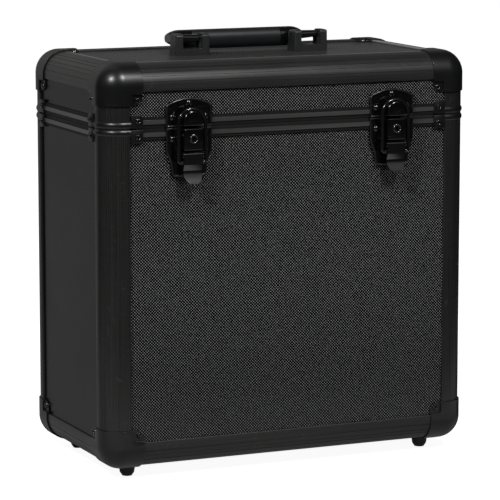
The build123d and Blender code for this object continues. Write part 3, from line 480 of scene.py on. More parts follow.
laminate = {
    "black": (0.0004, 0.0004, 0.0004, 1),  # in the holes
    "ground": (0.0015, 0.0015, 0.0015, 1),
    "paintedSheen": (0.040, 0.040, 0.039, 1),  # the top's ground, made pale as a painted sheen; ground and holes together, seen very low
    "faces": {  # axes across and up, colour of the dots, roughness, gloss; the dots' colour differs by face as painted light and shade, darkest on the sides
        "laminateFront": (0, 2, (0.355, 0.36, 0.36, 1), 0.24, 0.22),
        "laminateSide": (1, 2, (0.008, 0.008, 0.008, 1), 0.24, 0.35),
        "laminateLevel": (0, 1, (0.055, 0.055, 0.054, 1), 0.26, 0.06),
    },
    "grain": 1500.0,
    "grainShare": 0.3,  # of the relief
    "dust": 0.03,
    "sparkle": (0.97, 1.03),
    "paintedLowShade": (0.03, 0.20, 0.66, 1.0),  # heights between which the dots are darkened as painted shade, and their shares there
    "roughSpread": 0.03,
    "dotRough": 0.4,  # how much rougher a dot is, as a share
    "bump": 0.12,
    "relief": 0.00005,
}


def laminateFinish(name):
    across, up, silver, level, gloss = laminate["faces"][name]
    material, tree, shader, where = newMaterial(name)
    axes = split(tree, where)
    dots = useGroup(tree, groups["diamonds"], Across=axes[across], Up=axes[up])
    grain = useGroup(tree, groups["grain"], Vector=where, Scale=laminate["grain"])
    dust = useGroup(tree, groups["dust"], Vector=where, Amount=laminate["dust"])["Dust"]
    lit = remap(tree, dots["Sparkle"], 0.0, 1.0, *laminate["sparkle"])
    # the dots darker towards the bottom: painted shade
    low = remap(tree, axes[2], *laminate["paintedLowShade"], smooth=True)
    dot = maths(tree, "MULTIPLY", dots["Silver"], maths(tree, "MULTIPLY", lit, low), clamp=True)
    # the top's pale ground is a painted sheen
    if name == "laminateLevel":
        colour = laminate["paintedSheen"]
    else:
        colour = mixColour(tree, dots["Hole"], laminate["ground"], laminate["black"])
    colour = mixColour(tree, dot, colour, silver)
    colour = mixColour(tree, dust, colour, effects["softDust"])
    tree.links.new(colour, shader.inputs["Base Color"])
    spread = laminate["roughSpread"]
    rough = remap(tree, grain["Cloud"], *effects["span"], level - spread, level + spread)
    rougher = maths(tree, "MULTIPLY", dot, laminate["dotRough"] * level)
    tree.links.new(maths(tree, "ADD", rough, rougher), shader.inputs["Roughness"])
    shader.inputs["Specular IOR Level"].default_value = gloss
    fine = maths(tree, "MULTIPLY", grain["Grain"], laminate["grainShare"])
    height = maths(tree, "ADD", dots["Silver"], fine)
    normal = bump(tree, height, laminate["bump"], laminate["relief"])
    tree.links.new(normal, shader.inputs["Normal"])
    return material


bars = {
    "kinds": {  # axis of the draw marks, colour, worn colour, share of bare metal, roughness; the colours differ by bar as painted light, the level bars paler than the upright ones and the rims palest
        "barX": (0, (0.040, 0.041, 0.040, 1), (0.075, 0.075, 0.073, 1), 0.58, 0.35),
        "barY": (1, (0.046, 0.046, 0.044, 1), (0.095, 0.095, 0.092, 1), 0.60, 0.28),
        "barZ": (2, (0.030, 0.031, 0.030, 1), (0.060, 0.060, 0.058, 1), 0.55, 0.30),
        "rimBar": (0, (0.16, 0.16, 0.155, 1), (0.24, 0.24, 0.235, 1), 0.75, 0.34),
    },
    "acrossMarks": 1400.0,  # how much the draw marks are squeezed across and along the bar
    "alongMarks": 6.0,
    "marks": (1.0, 3.0, 0.6),
    "worn": 0.7,
    "grain": 1800.0,
    "grainShare": 0.25,
    "scratch": 0.25,
    "scratchColour": (0.14, 0.14, 0.135, 1),
    "dust": 0.3,
    "smoother": 0.05,  # how far the roughness falls and rises in patches
    "rougher": 0.07,
    "markRough": 0.05,
    "grooveShade": (0.002, 0.002, 0.002, 1),
    "grooveRough": 0.25,
    "flangeHighlight": (0.45, 0.45, 0.44, 1),  # painted highlight along the flange's edge
    "bump": 0.22,
    "relief": 0.00012,
}


def barFinish(name):
    axis, plain, worn, metal, level = bars["kinds"][name]
    material, tree, shader, where = newMaterial(name)
    reach = [bars["acrossMarks"]] * 3
    reach[axis] = bars["alongMarks"]
    drawn = noise(tree, stretched(tree, where, tuple(reach)), *bars["marks"])
    grain = useGroup(tree, groups["grain"], Vector=where, Scale=bars["grain"])
    scratch = useGroup(tree, groups["scratches"], Vector=where, Amount=bars["scratch"])["Scratch"]
    dust = useGroup(tree, groups["dust"], Vector=where, Amount=bars["dust"])["Dust"]
    wear = remap(tree, drawn, *effects["upperSpan"], 0.0, bars["worn"])
    colour = mixColour(tree, wear, plain, worn)
    colour = mixColour(tree, scratch, colour, bars["scratchColour"])
    colour = mixColour(tree, dust, colour, effects["paleDust"])
    low, high = level - bars["smoother"], level + bars["rougher"]
    rough = remap(tree, grain["Cloud"], *effects["span"], low, high)
    marked = remap(tree, drawn, *effects["span"], -bars["markRough"], bars["markRough"])
    rough = maths(tree, "ADD", rough, marked)
    if name == "rimBar":
        # the groove between the rims is painted black as painted shade
        groove = useGroup(tree, groups["groove"], Vector=where)["Groove"]
        colour = mixColour(tree, groove, colour, bars["grooveShade"])
        bare = maths(tree, "MULTIPLY", maths(tree, "SUBTRACT", 1.0, groove), metal)
        tree.links.new(bare, shader.inputs["Metallic"])
        rough = maths(tree, "ADD", rough, maths(tree, "MULTIPLY", groove, bars["grooveRough"]))
    else:
        # a painted highlight along the edge of the top bars' flange
        edge = useGroup(tree, groups["flangeEdge"], Vector=where)["Edge"]
        colour = mixColour(tree, edge, colour, bars["flangeHighlight"])
        shader.inputs["Metallic"].default_value = metal
    tree.links.new(colour, shader.inputs["Base Color"])
    tree.links.new(rough, shader.inputs["Roughness"])
    fine = maths(tree, "MULTIPLY", grain["Grain"], bars["grainShare"])
    normal = bump(tree, maths(tree, "ADD", drawn, fine), bars["bump"], bars["relief"])
    tree.links.new(normal, shader.inputs["Normal"])
    return material


paints = {
    "kinds": {  # colour, roughness, coat, coat roughness, orange peel, size of the grain
        "satinPaint": ((0.006, 0.0062, 0.0062, 1), 0.34, 0.28, 0.25, 0.06, 700.0),
        "strapPaint": ((0.003, 0.0032, 0.0032, 1), 0.38, 0.5, 0.40, 0.04, 700.0),
        "glossPaint": ((0.0018, 0.0018, 0.0018, 1), 0.19, 1.0, 0.07, 0.03, 500.0),
        "wirePaint": ((0.004, 0.004, 0.004, 1), 0.16, 1.0, 0.12, 0.02, 900.0),
        "rimPaint": ((0.007, 0.007, 0.007, 1), 0.28, 1.0, 0.28, 0.02, 900.0),
        "castPaint": ((0.020, 0.0206, 0.0208, 1), 0.36, 0.3, 0.25, 0.30, 900.0),
        "rivetPaint": ((0.004, 0.004, 0.004, 1), 0.18, 1.0, 0.07, 0.03, 900.0),
        "darkSteel": ((0.035, 0.035, 0.036, 1), 0.26, 0.0, 0.20, 0.06, 900.0),
        "blackNickel": ((0.15, 0.15, 0.148, 1), 0.16, 0.0, 0.20, 0.03, 900.0),
    },
    "metals": ("darkSteel", "blackNickel"),
    "metallic": 0.95,
    "lighter": 1.7,  # how much paler the paint gets in patches, and the share of it that shows
    "lighterShare": 0.6,
    "scratch": 0.12,
    "scratchColour": (0.10, 0.10, 0.10, 1),
    "dust": 0.25,
    "smoother": 0.04,
    "rougher": 0.06,
    "relief": 0.0002,
}


def paintFinish(name):
    colour, level, coat, coatRough, peel, grainScale = paints["kinds"][name]
    material, tree, shader, where = newMaterial(name)
    grain = useGroup(tree, groups["grain"], Vector=where, Scale=grainScale)
    scratch = useGroup(tree, groups["scratches"], Vector=where, Amount=paints["scratch"])["Scratch"]
    dust = useGroup(tree, groups["dust"], Vector=where, Amount=paints["dust"])["Dust"]
    lighter = tuple(part * paints["lighter"] for part in colour[:3]) + (1,)
    patch = remap(tree, grain["Cloud"], *effects["upperSpan"], 0.0, paints["lighterShare"])
    shade = mixColour(tree, patch, colour, lighter)
    shade = mixColour(tree, scratch, shade, paints["scratchColour"])
    shade = mixColour(tree, dust, shade, effects["paleDust"])
    tree.links.new(shade, shader.inputs["Base Color"])
    low, high = level - paints["smoother"], level + paints["rougher"]
    rough = remap(tree, grain["Cloud"], *effects["span"], low, high)
    tree.links.new(rough, shader.inputs["Roughness"])
    if name in paints["metals"]:
        shader.inputs["Metallic"].default_value = paints["metallic"]
    shader.inputs["Coat Weight"].default_value = coat
    shader.inputs["Coat Roughness"].default_value = coatRough
    normal = bump(tree, grain["Grain"], peel, paints["relief"])
    tree.links.new(normal, shader.inputs["Normal"])
    return material


rubber = {
    "kinds": {"rubber": 1.0, "footRubber": 0.25},  # how pale, as a share of the colours below
    "colour": (0.012, 0.0135, 0.0145),
    "light": (0.019, 0.021, 0.022),
    "rough": 0.36,
    "smoother": 0.06,
    "rougher": 0.10,
    "pebble": 900.0,
    "dust": 0.5,
    "bump": 0.12,
    "relief": 0.0002,
}


def rubberFinish(name):
    share = rubber["kinds"][name]
    material, tree, shader, where = newMaterial(name)
    grain = useGroup(tree, groups["grain"], Vector=where, Scale=rubber["pebble"])
    dust = useGroup(tree, groups["dust"], Vector=where, Amount=rubber["dust"])["Dust"]
    plain = tuple(part * share for part in rubber["colour"]) + (1,)
    light = tuple(part * share for part in rubber["light"]) + (1,)
    shade = mixColour(tree, remap(tree, grain["Cloud"], *effects["span"], 0.0, 1.0), plain, light)
    shade = mixColour(tree, dust, shade, effects["softDust"])
    tree.links.new(shade, shader.inputs["Base Color"])
    low, high = rubber["rough"] - rubber["smoother"], rubber["rough"] + rubber["rougher"]
    rough = remap(tree, grain["Grain"], *effects["span"], low, high)
    tree.links.new(rough, shader.inputs["Roughness"])
    normal = bump(tree, grain["Grain"], rubber["bump"], rubber["relief"])
    tree.links.new(normal, shader.inputs["Normal"])
    return material


felt = {
    "dark": (0.010, 0.010, 0.011, 1),
    "light": (0.045, 0.045, 0.048, 1),
    "rough": 0.95,
    "lie": (1.0, 1.0, 0.45),  # the fibres lie along Z
    "fibres": (1600.0, 5.0, 0.75),
    "clumps": (180.0, 3.0, 0.6),
    "thinnest": 0.6,
    "sheen": 0.25,
    "sheenRough": 0.5,
    "bump": 0.6,
    "relief": 0.0006,
}


def feltFinish(name):
    material, tree, shader, where = newMaterial(name)
    fibres = noise(tree, stretched(tree, where, felt["lie"]), *felt["fibres"])
    clumps = noise(tree, where, *felt["clumps"])
    raised = remap(tree, fibres, *effects["upperSpan"], 0.0, 1.0)
    thick = remap(tree, clumps, *effects["span"], felt["thinnest"], 1.0)
    shade = mixColour(tree, maths(tree, "MULTIPLY", raised, thick), felt["dark"], felt["light"])
    tree.links.new(shade, shader.inputs["Base Color"])
    shader.inputs["Roughness"].default_value = felt["rough"]
    shader.inputs["Sheen Weight"].default_value = felt["sheen"]
    shader.inputs["Sheen Roughness"].default_value = felt["sheenRough"]
    tree.links.new(bump(tree, fibres, felt["bump"], felt["relief"]), shader.inputs["Normal"])
    return material


finishes = {"felt": feltFinish("felt")}
for make, names in (
    (laminateFinish, laminate["faces"]),
    (barFinish, bars["kinds"]),
    (paintFinish, paints["kinds"]),
    (rubberFinish, rubber["kinds"]),
):
    finishes.update({name: make(name) for name in names})
print("finishes made")


# Mesh helpers

cleaning = {
    "weld": 2e-6,  # metres
    "shortest": 1e-6,
    "flat": 0.6,  # degrees between faces that count as one
    "crease": 32.0,  # degrees from which an edge stays sharp
}


def bodyOf(node):
    return nodes[node]["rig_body"]


def dress(obj, finish):
    obj.data.materials.clear()
    obj.data.materials.append(finishes[finish])


def smoothShade(mesh, crease):
    for face in mesh.polygons:
        face.use_smooth = True
    mesh.set_sharp_from_angle(angle=math.radians(crease))


def newPiece(name, mesh, body, finish, replaces=()):
    obj = bpy.data.objects.new(name, mesh)
    bpy.context.scene.collection.objects.link(obj)
    dress(obj, finish)
    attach(obj, body)
    if replaces:
        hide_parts(*replaces)
    return obj


def cleanCopy(node):  # the node's mesh with its flat faces joined
    shape = bmesh.new()
    shape.from_mesh(nodes[node].data)
    flat = math.radians(cleaning["flat"])
    bmesh.ops.remove_doubles(shape, verts=shape.verts, dist=cleaning["weld"])
    bmesh.ops.dissolve_degenerate(shape, edges=shape.edges, dist=cleaning["shortest"])
    bmesh.ops.dissolve_limit(shape, angle_limit=flat, verts=shape.verts, edges=shape.edges)
    return shape


def closeMesh(shape, name, crease=cleaning["crease"]):
    bmesh.ops.recalc_face_normals(shape, faces=shape.faces)
    mesh = bpy.data.meshes.new(name)
    shape.to_mesh(mesh)
    shape.free()
    smoothShade(mesh, crease)
    return mesh


def angleAt(index, steps, whole=2 * math.pi):
    return whole * index / steps


def addLoft(shape, rings):  # closed at both ends
    for low, high in zip(rings, rings[1:]):
        for index in range(len(low)):
            after = (index + 1) % len(low)
            shape.faces.new((low[index], low[after], high[after], high[index]))
    shape.faces.new(list(reversed(rings[0])))
    shape.faces.new(rings[-1])


# Pieces that keep their shape and get rounded edges

rounding = {
    "segments": 3,
    "limit": 38.0,  # degrees from which an edge is rounded
    "leverLimit": 14.0,  # a lever's facets meet at low angles
}
softPieces = {  # edge radius in millimetres, finish, slot
    "body_rim": (0.2, "rimBar", "black_aluminium"),
    "lid_rim": (0.2, "rimBar", "black_aluminium"),
    "latch_keeper_left": (0.7, "glossPaint", "black_steel"),
    "latch_keeper_right": (0.7, "glossPaint", "black_steel"),
    "latch_base_left": (0.6, "glossPaint", "black_steel"),
    "latch_base_right": (0.6, "glossPaint", "black_steel"),
    "lock_housing_left": (0.5, "glossPaint", "black_steel"),
    "lock_housing_right": (0.5, "glossPaint", "black_steel"),
    "latch_lever_left": (0.3, "glossPaint", "black_steel"),
    "latch_lever_right": (0.3, "glossPaint", "black_steel"),
    "handle_bracket_left": (0.5, "castPaint", "black_steel"),
    "handle_bracket_right": (0.5, "castPaint", "black_steel"),
    "hinge_body_leaves": (0.25, "glossPaint", "black_steel"),
    "hinge_lid_leaves": (0.25, "glossPaint", "black_steel"),
}
for corner in ("front_left", "front_right", "back_left", "back_right"):
    softPieces["bottom_corner_cap_" + corner] = (0.9, "satinPaint", "satin_black_steel")
    softPieces["lid_corner_cap_" + corner] = (0.9, "satinPaint", "satin_black_steel")


def soften(obj, width, limit=rounding["limit"]):
    bevel = obj.modifiers.new("edges", "BEVEL")
    bevel.width = width * mm
    bevel.segments = rounding["segments"]
    bevel.limit_method = "ANGLE"
    bevel.angle_limit = math.radians(limit)
    bevel.use_clamp_overlap = True
    bevel.harden_normals = True


def makeSoftPieces():
    for node, (width, finish, slot) in softPieces.items():
        shape = cleanCopy(node)
        mesh = bpy.data.meshes.new(node + "_piece")
        shape.to_mesh(mesh)
        shape.free()
        smoothShade(mesh, cleaning["crease"])
        obj = newPiece(node + "_piece", mesh, bodyOf(node), finish, [node])
        soften(obj, width, rounding["leverLimit" if "lever" in node else "limit"])


# Edge bars, drawn again with the reeds of the real extrusion

edgeBar = {  # in millimetres, angles in degrees
    "flange": 24.0,
    "radius": 20.0,
    "wall": 2.0,
    "slotFloor": 19.0,
    "slotBack": 8.1,
    "innerFace": 9.6,
    "seamGap": 0.2,
    "step": 3.0,  # between the points of the rounded side
    "reeds": (13.0, 27.0, 38.0, 52.0, 63.0, 77.0),  # round the corner
    "reedWidth": 1.5,
    "reedFloor": 0.45,  # width of a reed's floor, as a share of the reed's
    "reedClear": 0.4,  # from a reed to the next point of the side
    "reedDepth": 0.34,
    "faint": 0.26,  # share of the reeds' depth that the upright bars have
    "flangeLip": 1.0,
    "lipSteps": 4,
    "nodes": {
        "body_long": ["bottom_edges"],
        "lid_long": ["lid_top_edges"],
        "body_upright": ["body_edge_front_left", "body_edge_front_right",
                         "body_edge_back_left", "body_edge_back_right"],
        "lid_upright": ["lid_corner_edges"],
    },
}


def barSection(faint):  # points as distances from the bar's two outer sides
    bar = edgeBar
    deep = bar["reedDepth"] * (bar["faint"] if faint else 1.0)
    half = bar["reedWidth"] / 2
    floor = half * bar["reedFloor"]
    side = []
    for index in range(round(90.0 / bar["step"]) + 1):
        degree = index * bar["step"]
        if all(abs(degree - reed) > half + bar["reedClear"] for reed in bar["reeds"]):
            side.append((degree, 0.0))
    for reed in bar["reeds"]:
        side += [(reed - half, 0.0), (reed - floor, deep), (reed + floor, deep), (reed + half, 0.0)]
    arc = []
    for degree, depth in sorted(side):
        turn = math.radians(degree)
        reach = bar["radius"] - depth
        arc.append((bar["radius"] - reach * math.sin(turn), bar["radius"] - reach * math.cos(turn)))
    lip = bar["flangeLip"]
    flange = bar["flange"]
    start = []
    for index in range(bar["lipSteps"] + 1):
        turn = angleAt(index, bar["lipSteps"], math.pi / 2)
        start.append((flange - lip + lip * math.cos(turn), lip - lip * math.sin(turn)))
    finish = [(two, one) for one, two in reversed(start)]
    inner = [
        (bar["wall"], flange),
        (bar["wall"], bar["slotFloor"]),
        (bar["slotBack"], bar["slotFloor"]),
        (bar["slotBack"], flange),
        (bar["innerFace"], flange),
        (bar["innerFace"], bar["innerFace"]),
        (flange, bar["innerFace"]),
        (flange, bar["slotBack"]),
        (bar["slotFloor"], bar["slotBack"]),
        (bar["slotFloor"], bar["wall"]),
        (flange, bar["wall"]),
    ]
    return start + arc + finish + inner


def addBar(shape, spot, length, mitredEnd):
    near, far = [], []
    for one, two in barSection(not mitredEnd):
        cut = max(edgeBar["radius"], one, two)
        near.append(shape.verts.new(spot(cut, one, two)))
        far.append(shape.verts.new(spot(length - cut if mitredEnd else length, one, two)))
    count = len(near)
    for index in range(count):
        after = (index + 1) % count
        shape.faces.new((near[index], near[after], far[after], far[index]))
    shape.faces.new(near)
    shape.faces.new(list(reversed(far)))


def cornerSpot(right, back, top, order):  # places points by their distances from a corner
    width, depth, height = case["halfWidth"], case["halfDepth"], case["height"]

    def spot(along, one, two):
        fromCorner = dict(zip(order, (along, one, two)))
        x = width - fromCorner["x"] if right else -width + fromCorner["x"]
        y = depth - fromCorner["y"] if back else -depth + fromCorner["y"]
        z = height - fromCorner["z"] if top else fromCorner["z"]
        return place(x, y, z)

    return spot


def makeBars():
    upright = {"body": case["seam"] - edgeBar["seamGap"]}
    upright["lid"] = case["height"] - case["seam"] - edgeBar["seamGap"]
    for top, body in ((False, "body"), (True, "lid")):
        shape = bmesh.new()
        for back in (False, True):
            addBar(shape, cornerSpot(False, back, top, "xyz"), 2 * case["halfWidth"], True)
        name = body + "_long_bars"
        covered = edgeBar["nodes"][body + "_long"]
        newPiece(name, closeMesh(shape, name), body, "barX", covered)
        shape = bmesh.new()
        for right in (False, True):
            addBar(shape, cornerSpot(right, False, top, "yxz"), 2 * case["halfDepth"], True)
        name = body + "_short_bars"
        newPiece(name, closeMesh(shape, name), body, "barY")
        shape = bmesh.new()
        for right in (False, True):
            for back in (False, True):
                addBar(shape, cornerSpot(right, back, top, "zxy"), upright[body], False)
        name = body + "_upright_bars"
        covered = edgeBar["nodes"][body + "_upright"]
        newPiece(name, closeMesh(shape, name), body, "barZ", covered)


# Blind rivets, turned with the hollow that their mandrel leaves

rivet = {  # in millimetres
    "nodes": {"body_rivets": "body", "lid_rivets": "lid"},
    "segments": 32,
    "holeRadius": 1.15,
    "holeDepth": 1.2,
    "hollow": ((0.0, 0.3), (0.5, 0.25), (0.85, 0.0), (1.0, 0.0)),  # share of the radius, and height
    "crest": 1.75,  # radius of the rolled ring, and of its section
    "roll": 0.55,
    "rollFrom": 0.92,  # in half turns
    "rollTo": 0.12,
    "rollSteps": 9,
    "headHeight": 1.5,
    "headRadius": 2.9,
    "skirtShares": (0.35, 0.65, 0.88),
    "skirtCurve": 1.6,
    "shankRadius": 1.6,
    "tailRadius": 2.5,
    "tailHeight": 1.2,
    "crease": 40.0,
}


def islandBoxes(node):  # the box round each separate solid of a node
    shape = bmesh.new()
    shape.from_mesh(nodes[node].data)
    bmesh.ops.remove_doubles(shape, verts=shape.verts, dist=cleaning["weld"])
    seen = set()
    boxes = []
    for first in shape.verts:
        if first in seen:
            continue
        queue, island = [first], []
        seen.add(first)
        while queue:
            vertex = queue.pop()
            island.append(vertex.co)
            for edge in vertex.link_edges:
                other = edge.other_vert(vertex)
                if other not in seen:
                    seen.add(other)
                    queue.append(other)
        low = Vector([min(spot[k] for spot in island) for k in range(3)])
        high = Vector([max(spot[k] for spot in island) for k in range(3)])
        boxes.append((low, high))
    shape.free()
    return boxes


def addTurned(shape, profile, foot, axis):
    segments = rivet["segments"]
    across = Vector((0, 0, 1)) if abs(axis.z) < 0.5 else Vector((1, 0, 0))
    first = axis.cross(across).normalized()
    second = axis.cross(first).normalized()
    rings = []
    for radius, height in profile:
        centre = foot + axis * height * mm
        if radius == 0:
            rings.append([shape.verts.new(centre)])
            continue
        ring = []
        for index in range(segments):
            turn = angleAt(index, segments)
            out = first * math.cos(turn) + second * math.sin(turn)
            ring.append(shape.verts.new(centre + out * radius * mm))
        rings.append(ring)
    for low, high in zip(rings, rings[1:]):
        for index in range(segments):
            after = (index + 1) % segments
            if len(low) == 1:
                shape.faces.new((low[0], high[index], high[after]))
            elif len(high) == 1:
                shape.faces.new((low[index], high[0], low[after]))
            else:
                shape.faces.new((low[index], high[index], high[after], low[after]))


def rivetProfile(length):  # radius and height over the seat, from the hollow to the tail
    head, radius, hole = rivet["headHeight"], rivet["headRadius"], rivet["holeRadius"]
    crest, roll = rivet["crest"], rivet["roll"]
    floor = head - rivet["holeDepth"]
    profile = [(hole * share, floor + rise) for share, rise in rivet["hollow"]]
    sweep = rivet["rollFrom"] - rivet["rollTo"]
    for index in range(rivet["rollSteps"] + 1):
        turn = math.pi * (rivet["rollFrom"] - sweep * index / rivet["rollSteps"])
        profile.append((crest + roll * math.cos(turn), head - roll + roll * math.sin(turn)))
    skirt = crest + roll * math.cos(math.pi * rivet["rollTo"])
    drop = head - roll + roll * math.sin(math.pi * rivet["rollTo"])
    for share in rivet["skirtShares"]:
        out = skirt + (radius - skirt) * share
        profile.append((out, drop * (1 - share ** rivet["skirtCurve"])))
    tail = head - length
    profile += [
        (radius, 0.0),
        (rivet["shankRadius"], 0.0),
        (rivet["shankRadius"], tail + rivet["tailHeight"]),
        (rivet["tailRadius"], tail + rivet["tailHeight"]),
        (rivet["tailRadius"], tail),
        (0, tail),
    ]
    return profile


def makeRivets():
    middle = place(0, 0, case["height"] / 2)
    for node, body in rivet["nodes"].items():
        shape = bmesh.new()
        for low, high in islandBoxes(node):
            size = high - low
            along = max(range(3), key=lambda k: size[k])
            seat = (low + high) / 2
            sign = 1 if seat[along] > middle[along] else -1
            axis = Vector((0, 0, 0))
            axis[along] = sign
            seat[along] = (high if sign > 0 else low)[along] - sign * rivet["headHeight"] * mm
            addTurned(shape, rivetProfile(size[along] / mm), seat, axis)
        name = node + "_piece"
        mesh = closeMesh(shape, name, rivet["crease"])
        newPiece(name, mesh, body, "rivetPaint", [node])


# Straps beside the seam: a band with a domed face round the corner, and a riveted tab at each end

strap = {  # in millimetres
    "gap": 0.7,  # from the middle of the seam
    "band": 6.0,  # heights of the band and of the tabs
    "tab": 12.4,
    "tabStart": 24.4,  # from the outside of the corner
    "reach": 35.5,
    "overlap": 1.0,  # how far the band runs under the tab
    "wall": 1.05,
    "seat": 0.05,
    "round": 4.0,
    "roundSteps": 6,
    "edge": 0.45,
    "edgeShare": 0.3,
    "domeShare": 0.94,
    "domeSteps": 10,
    "turnSteps": 14,
    "crease": 40.0,
}


def bandSection():
    low, high = strap["gap"], strap["band"]
    half = (high - low) / 2
    wall = strap["wall"]
    dome = (half ** 2 + wall ** 2) / (2 * wall)
    widest = math.asin(half / dome)
    face = []
    for index in range(strap["domeSteps"] + 1):
        turn = widest * (2 * index / strap["domeSteps"] - 1) * strap["domeShare"]
        face.append(((low + high) / 2 + dome * math.sin(turn), wall - dome + dome * math.cos(turn)))
    return [(face[0][0], strap["seat"])] + face + [(face[-1][0], strap["seat"])]


def bandPath():  # points round the corner, each with its direction outwards
    centre = edgeBar["radius"]
    start = strap["tabStart"] + strap["overlap"]
    path = [((start, 0.0), (0.0, -1.0)), ((centre, 0.0), (0.0, -1.0))]
    for index in range(1, strap["turnSteps"]):
        turn = angleAt(index, strap["turnSteps"], math.pi / 2)
        out = (-math.sin(turn), -math.cos(turn))
        path.append(((centre + centre * out[0], centre + centre * out[1]), out))
    return path + [((0.0, centre), (-1.0, 0.0)), ((0.0, start), (-1.0, 0.0))]


def tabOutline():
    keys = ("tabStart", "reach", "gap", "tab", "round")
    start, reach, low, high, radius = (strap[key] for key in keys)
    outline = [(start, low), (reach, low)]
    for index in range(strap["roundSteps"] + 1):
        turn = angleAt(index, strap["roundSteps"], math.pi / 2)
        along = reach - radius + radius * math.cos(turn)
        outline.append((along, high - radius + radius * math.sin(turn)))
    return outline + [(start, high)]


def addStrap(shape, spot, sign):
    rings = []
    for (x, y), (outX, outY) in bandPath():
        ring = []
        for height, out in bandSection():
            ring.append(shape.verts.new(spot(x + outX * out, y + outY * out, sign * height)))
        rings.append(ring)
    addLoft(shape, rings)
    middle = (
        (strap["tabStart"] + strap["reach"]) / 2,
        (strap["gap"] + strap["tab"]) / 2,
    )
    wall, edge, share = strap["wall"], strap["edge"], strap["edgeShare"]
    layers = [
        (0.0, strap["seat"]),
        (0.0, wall - edge),
        (edge * share, wall - edge * share),
        (edge, wall),
    ]
    for swap in (False, True):
        rings = []
        for inset, out in layers:
            ring = []
            for along, height in tabOutline():
                kept = 1 - inset / math.hypot(along - middle[0], height - middle[1])
                along = middle[0] + (along - middle[0]) * kept
                height = middle[1] + (height - middle[1]) * kept
                x, y = (-out, along) if swap else (along, -out)
                ring.append(shape.verts.new(spot(x, y, sign * height)))
            rings.append(ring)
        addLoft(shape, rings)


def makeStraps():
    for sign, body in ((-1, "body"), (1, "lid")):
        shape = bmesh.new()
        for right in (False, True):
            for back in (False, True):
                corner = cornerSpot(right, back, False, "xyz")

                def spot(x, y, height):
                    return corner(x, y, case["seam"] + height)

                addStrap(shape, spot, sign)
        node = body + "_corner_straps"
        name = node + "_piece"
        mesh = closeMesh(shape, name, strap["crease"])
        newPiece(name, mesh, body, "strapPaint", [node])


# Latches: bails of bent wire, and the rings round the key plugs

latch = {  # in millimetres
    "offset": 98.0,  # of each latch from the case's middle
    "wire": 1.7,
    "wireSides": 20,
    "legOffset": 12.6,
    "plane": 8.4,  # of the bail and of the lock's face, in front of the case
    "lockFace": 12.6,
    "low": 30.2,  # of the bent ends, under the seam
    "archCentre": 3.4,  # over the seam
    "archSteps": 24,
    "bend": 2.2,
    "bendSteps": 8,
    "end": 7.1,
    "crease": 50.0,
    "keyDrop": 9.4,
    "ringRadius": 3.3,
    "ringWire": 0.75,
    "ringSteps": 36,
    "ringSides": 14,
    "ringCrease": 60.0,
}


def bailPath():  # x and height over the seam, from the right end over the arch to the left end
    keys = ("legOffset", "low", "bend", "archCentre")
    leg, low, bend, centre = (latch[key] for key in keys)
    half = [(latch["end"], -low)]
    for index in range(latch["bendSteps"] + 1):
        turn = angleAt(index, latch["bendSteps"], math.pi / 2)
        half.append((leg - bend + bend * math.sin(turn), -low + bend - bend * math.cos(turn)))
    for index in range(latch["archSteps"] + 1):
        turn = angleAt(index, latch["archSteps"], math.pi / 2)
        half.append((leg * math.cos(turn), centre + leg * math.sin(turn)))
    return half + [(-x, z) for x, z in reversed(half[:-1])]


def addTube(shape, path, radius, sides, closed=False):  # along a path that lies across Y
    count = len(path)
    out = Vector((0, -1, 0))
    rings = []
    for index, point in enumerate(path):
        before = path[(index - 1) % count] if closed else path[max(index - 1, 0)]
        after = path[(index + 1) % count] if closed else path[min(index + 1, count - 1)]
        across = (after - before).normalized().cross(out).normalized()
        ring = []
        for side in range(sides):
            turn = angleAt(side, sides)
            rise = (out * math.cos(turn) + across * math.sin(turn)) * radius
            ring.append(shape.verts.new(point + rise))
        rings.append(ring)
    if not closed:
        addLoft(shape, rings)
        return
    for low, high in zip(rings, rings[1:] + rings[:1]):
        for side in range(sides):
            other = (side + 1) % sides
            shape.faces.new((low[side], low[other], high[other], high[side]))


def makeBails():
    front = -case["halfDepth"] - latch["plane"]
    face = -case["halfDepth"] - latch["lockFace"]
    for sign, side in ((-1, "left"), (1, "right")):
        middle = sign * latch["offset"]
        path = [place(middle + x, front, case["seam"] + z) for x, z in bailPath()]
        shape = bmesh.new()
        addTube(shape, path, latch["wire"] * mm, latch["wireSides"])
        node = "latch_bail_" + side
        name = node + "_wire"
        mesh = closeMesh(shape, name, latch["crease"])
        newPiece(name, mesh, "bail_" + side, "wirePaint", [node])
        shape = bmesh.new()
        centre = place(middle, face, case["seam"] - latch["keyDrop"])
        ring = []
        for index in range(latch["ringSteps"]):
            turn = angleAt(index, latch["ringSteps"])
            out = Vector((math.cos(turn), 0, math.sin(turn)))
            ring.append(centre + out * latch["ringRadius"] * mm)
        addTube(shape, ring, latch["ringWire"] * mm, latch["ringSides"], closed=True)
        name = "lock_ring_" + side
        mesh = closeMesh(shape, name, latch["ringCrease"])
        newPiece(name, mesh, "body", "blackNickel")


# Rolled rims round the front of the keepers and the base plates

rolledRim = {  # in millimetres
    "nodes": {
        "latch_keeper_left": "lid",
        "latch_keeper_right": "lid",
        "latch_base_left": "body",
        "latch_base_right": "body",
    },
    "radius": 0.85,
    "inset": 0.60,
    "sink": 0.10,
    "step": 1.5,
    "sides": 12,
    "sameFace": 0.05,
    "squareOn": 0.99,  # how squarely a face has to face the front
    "crease": 60.0,
}


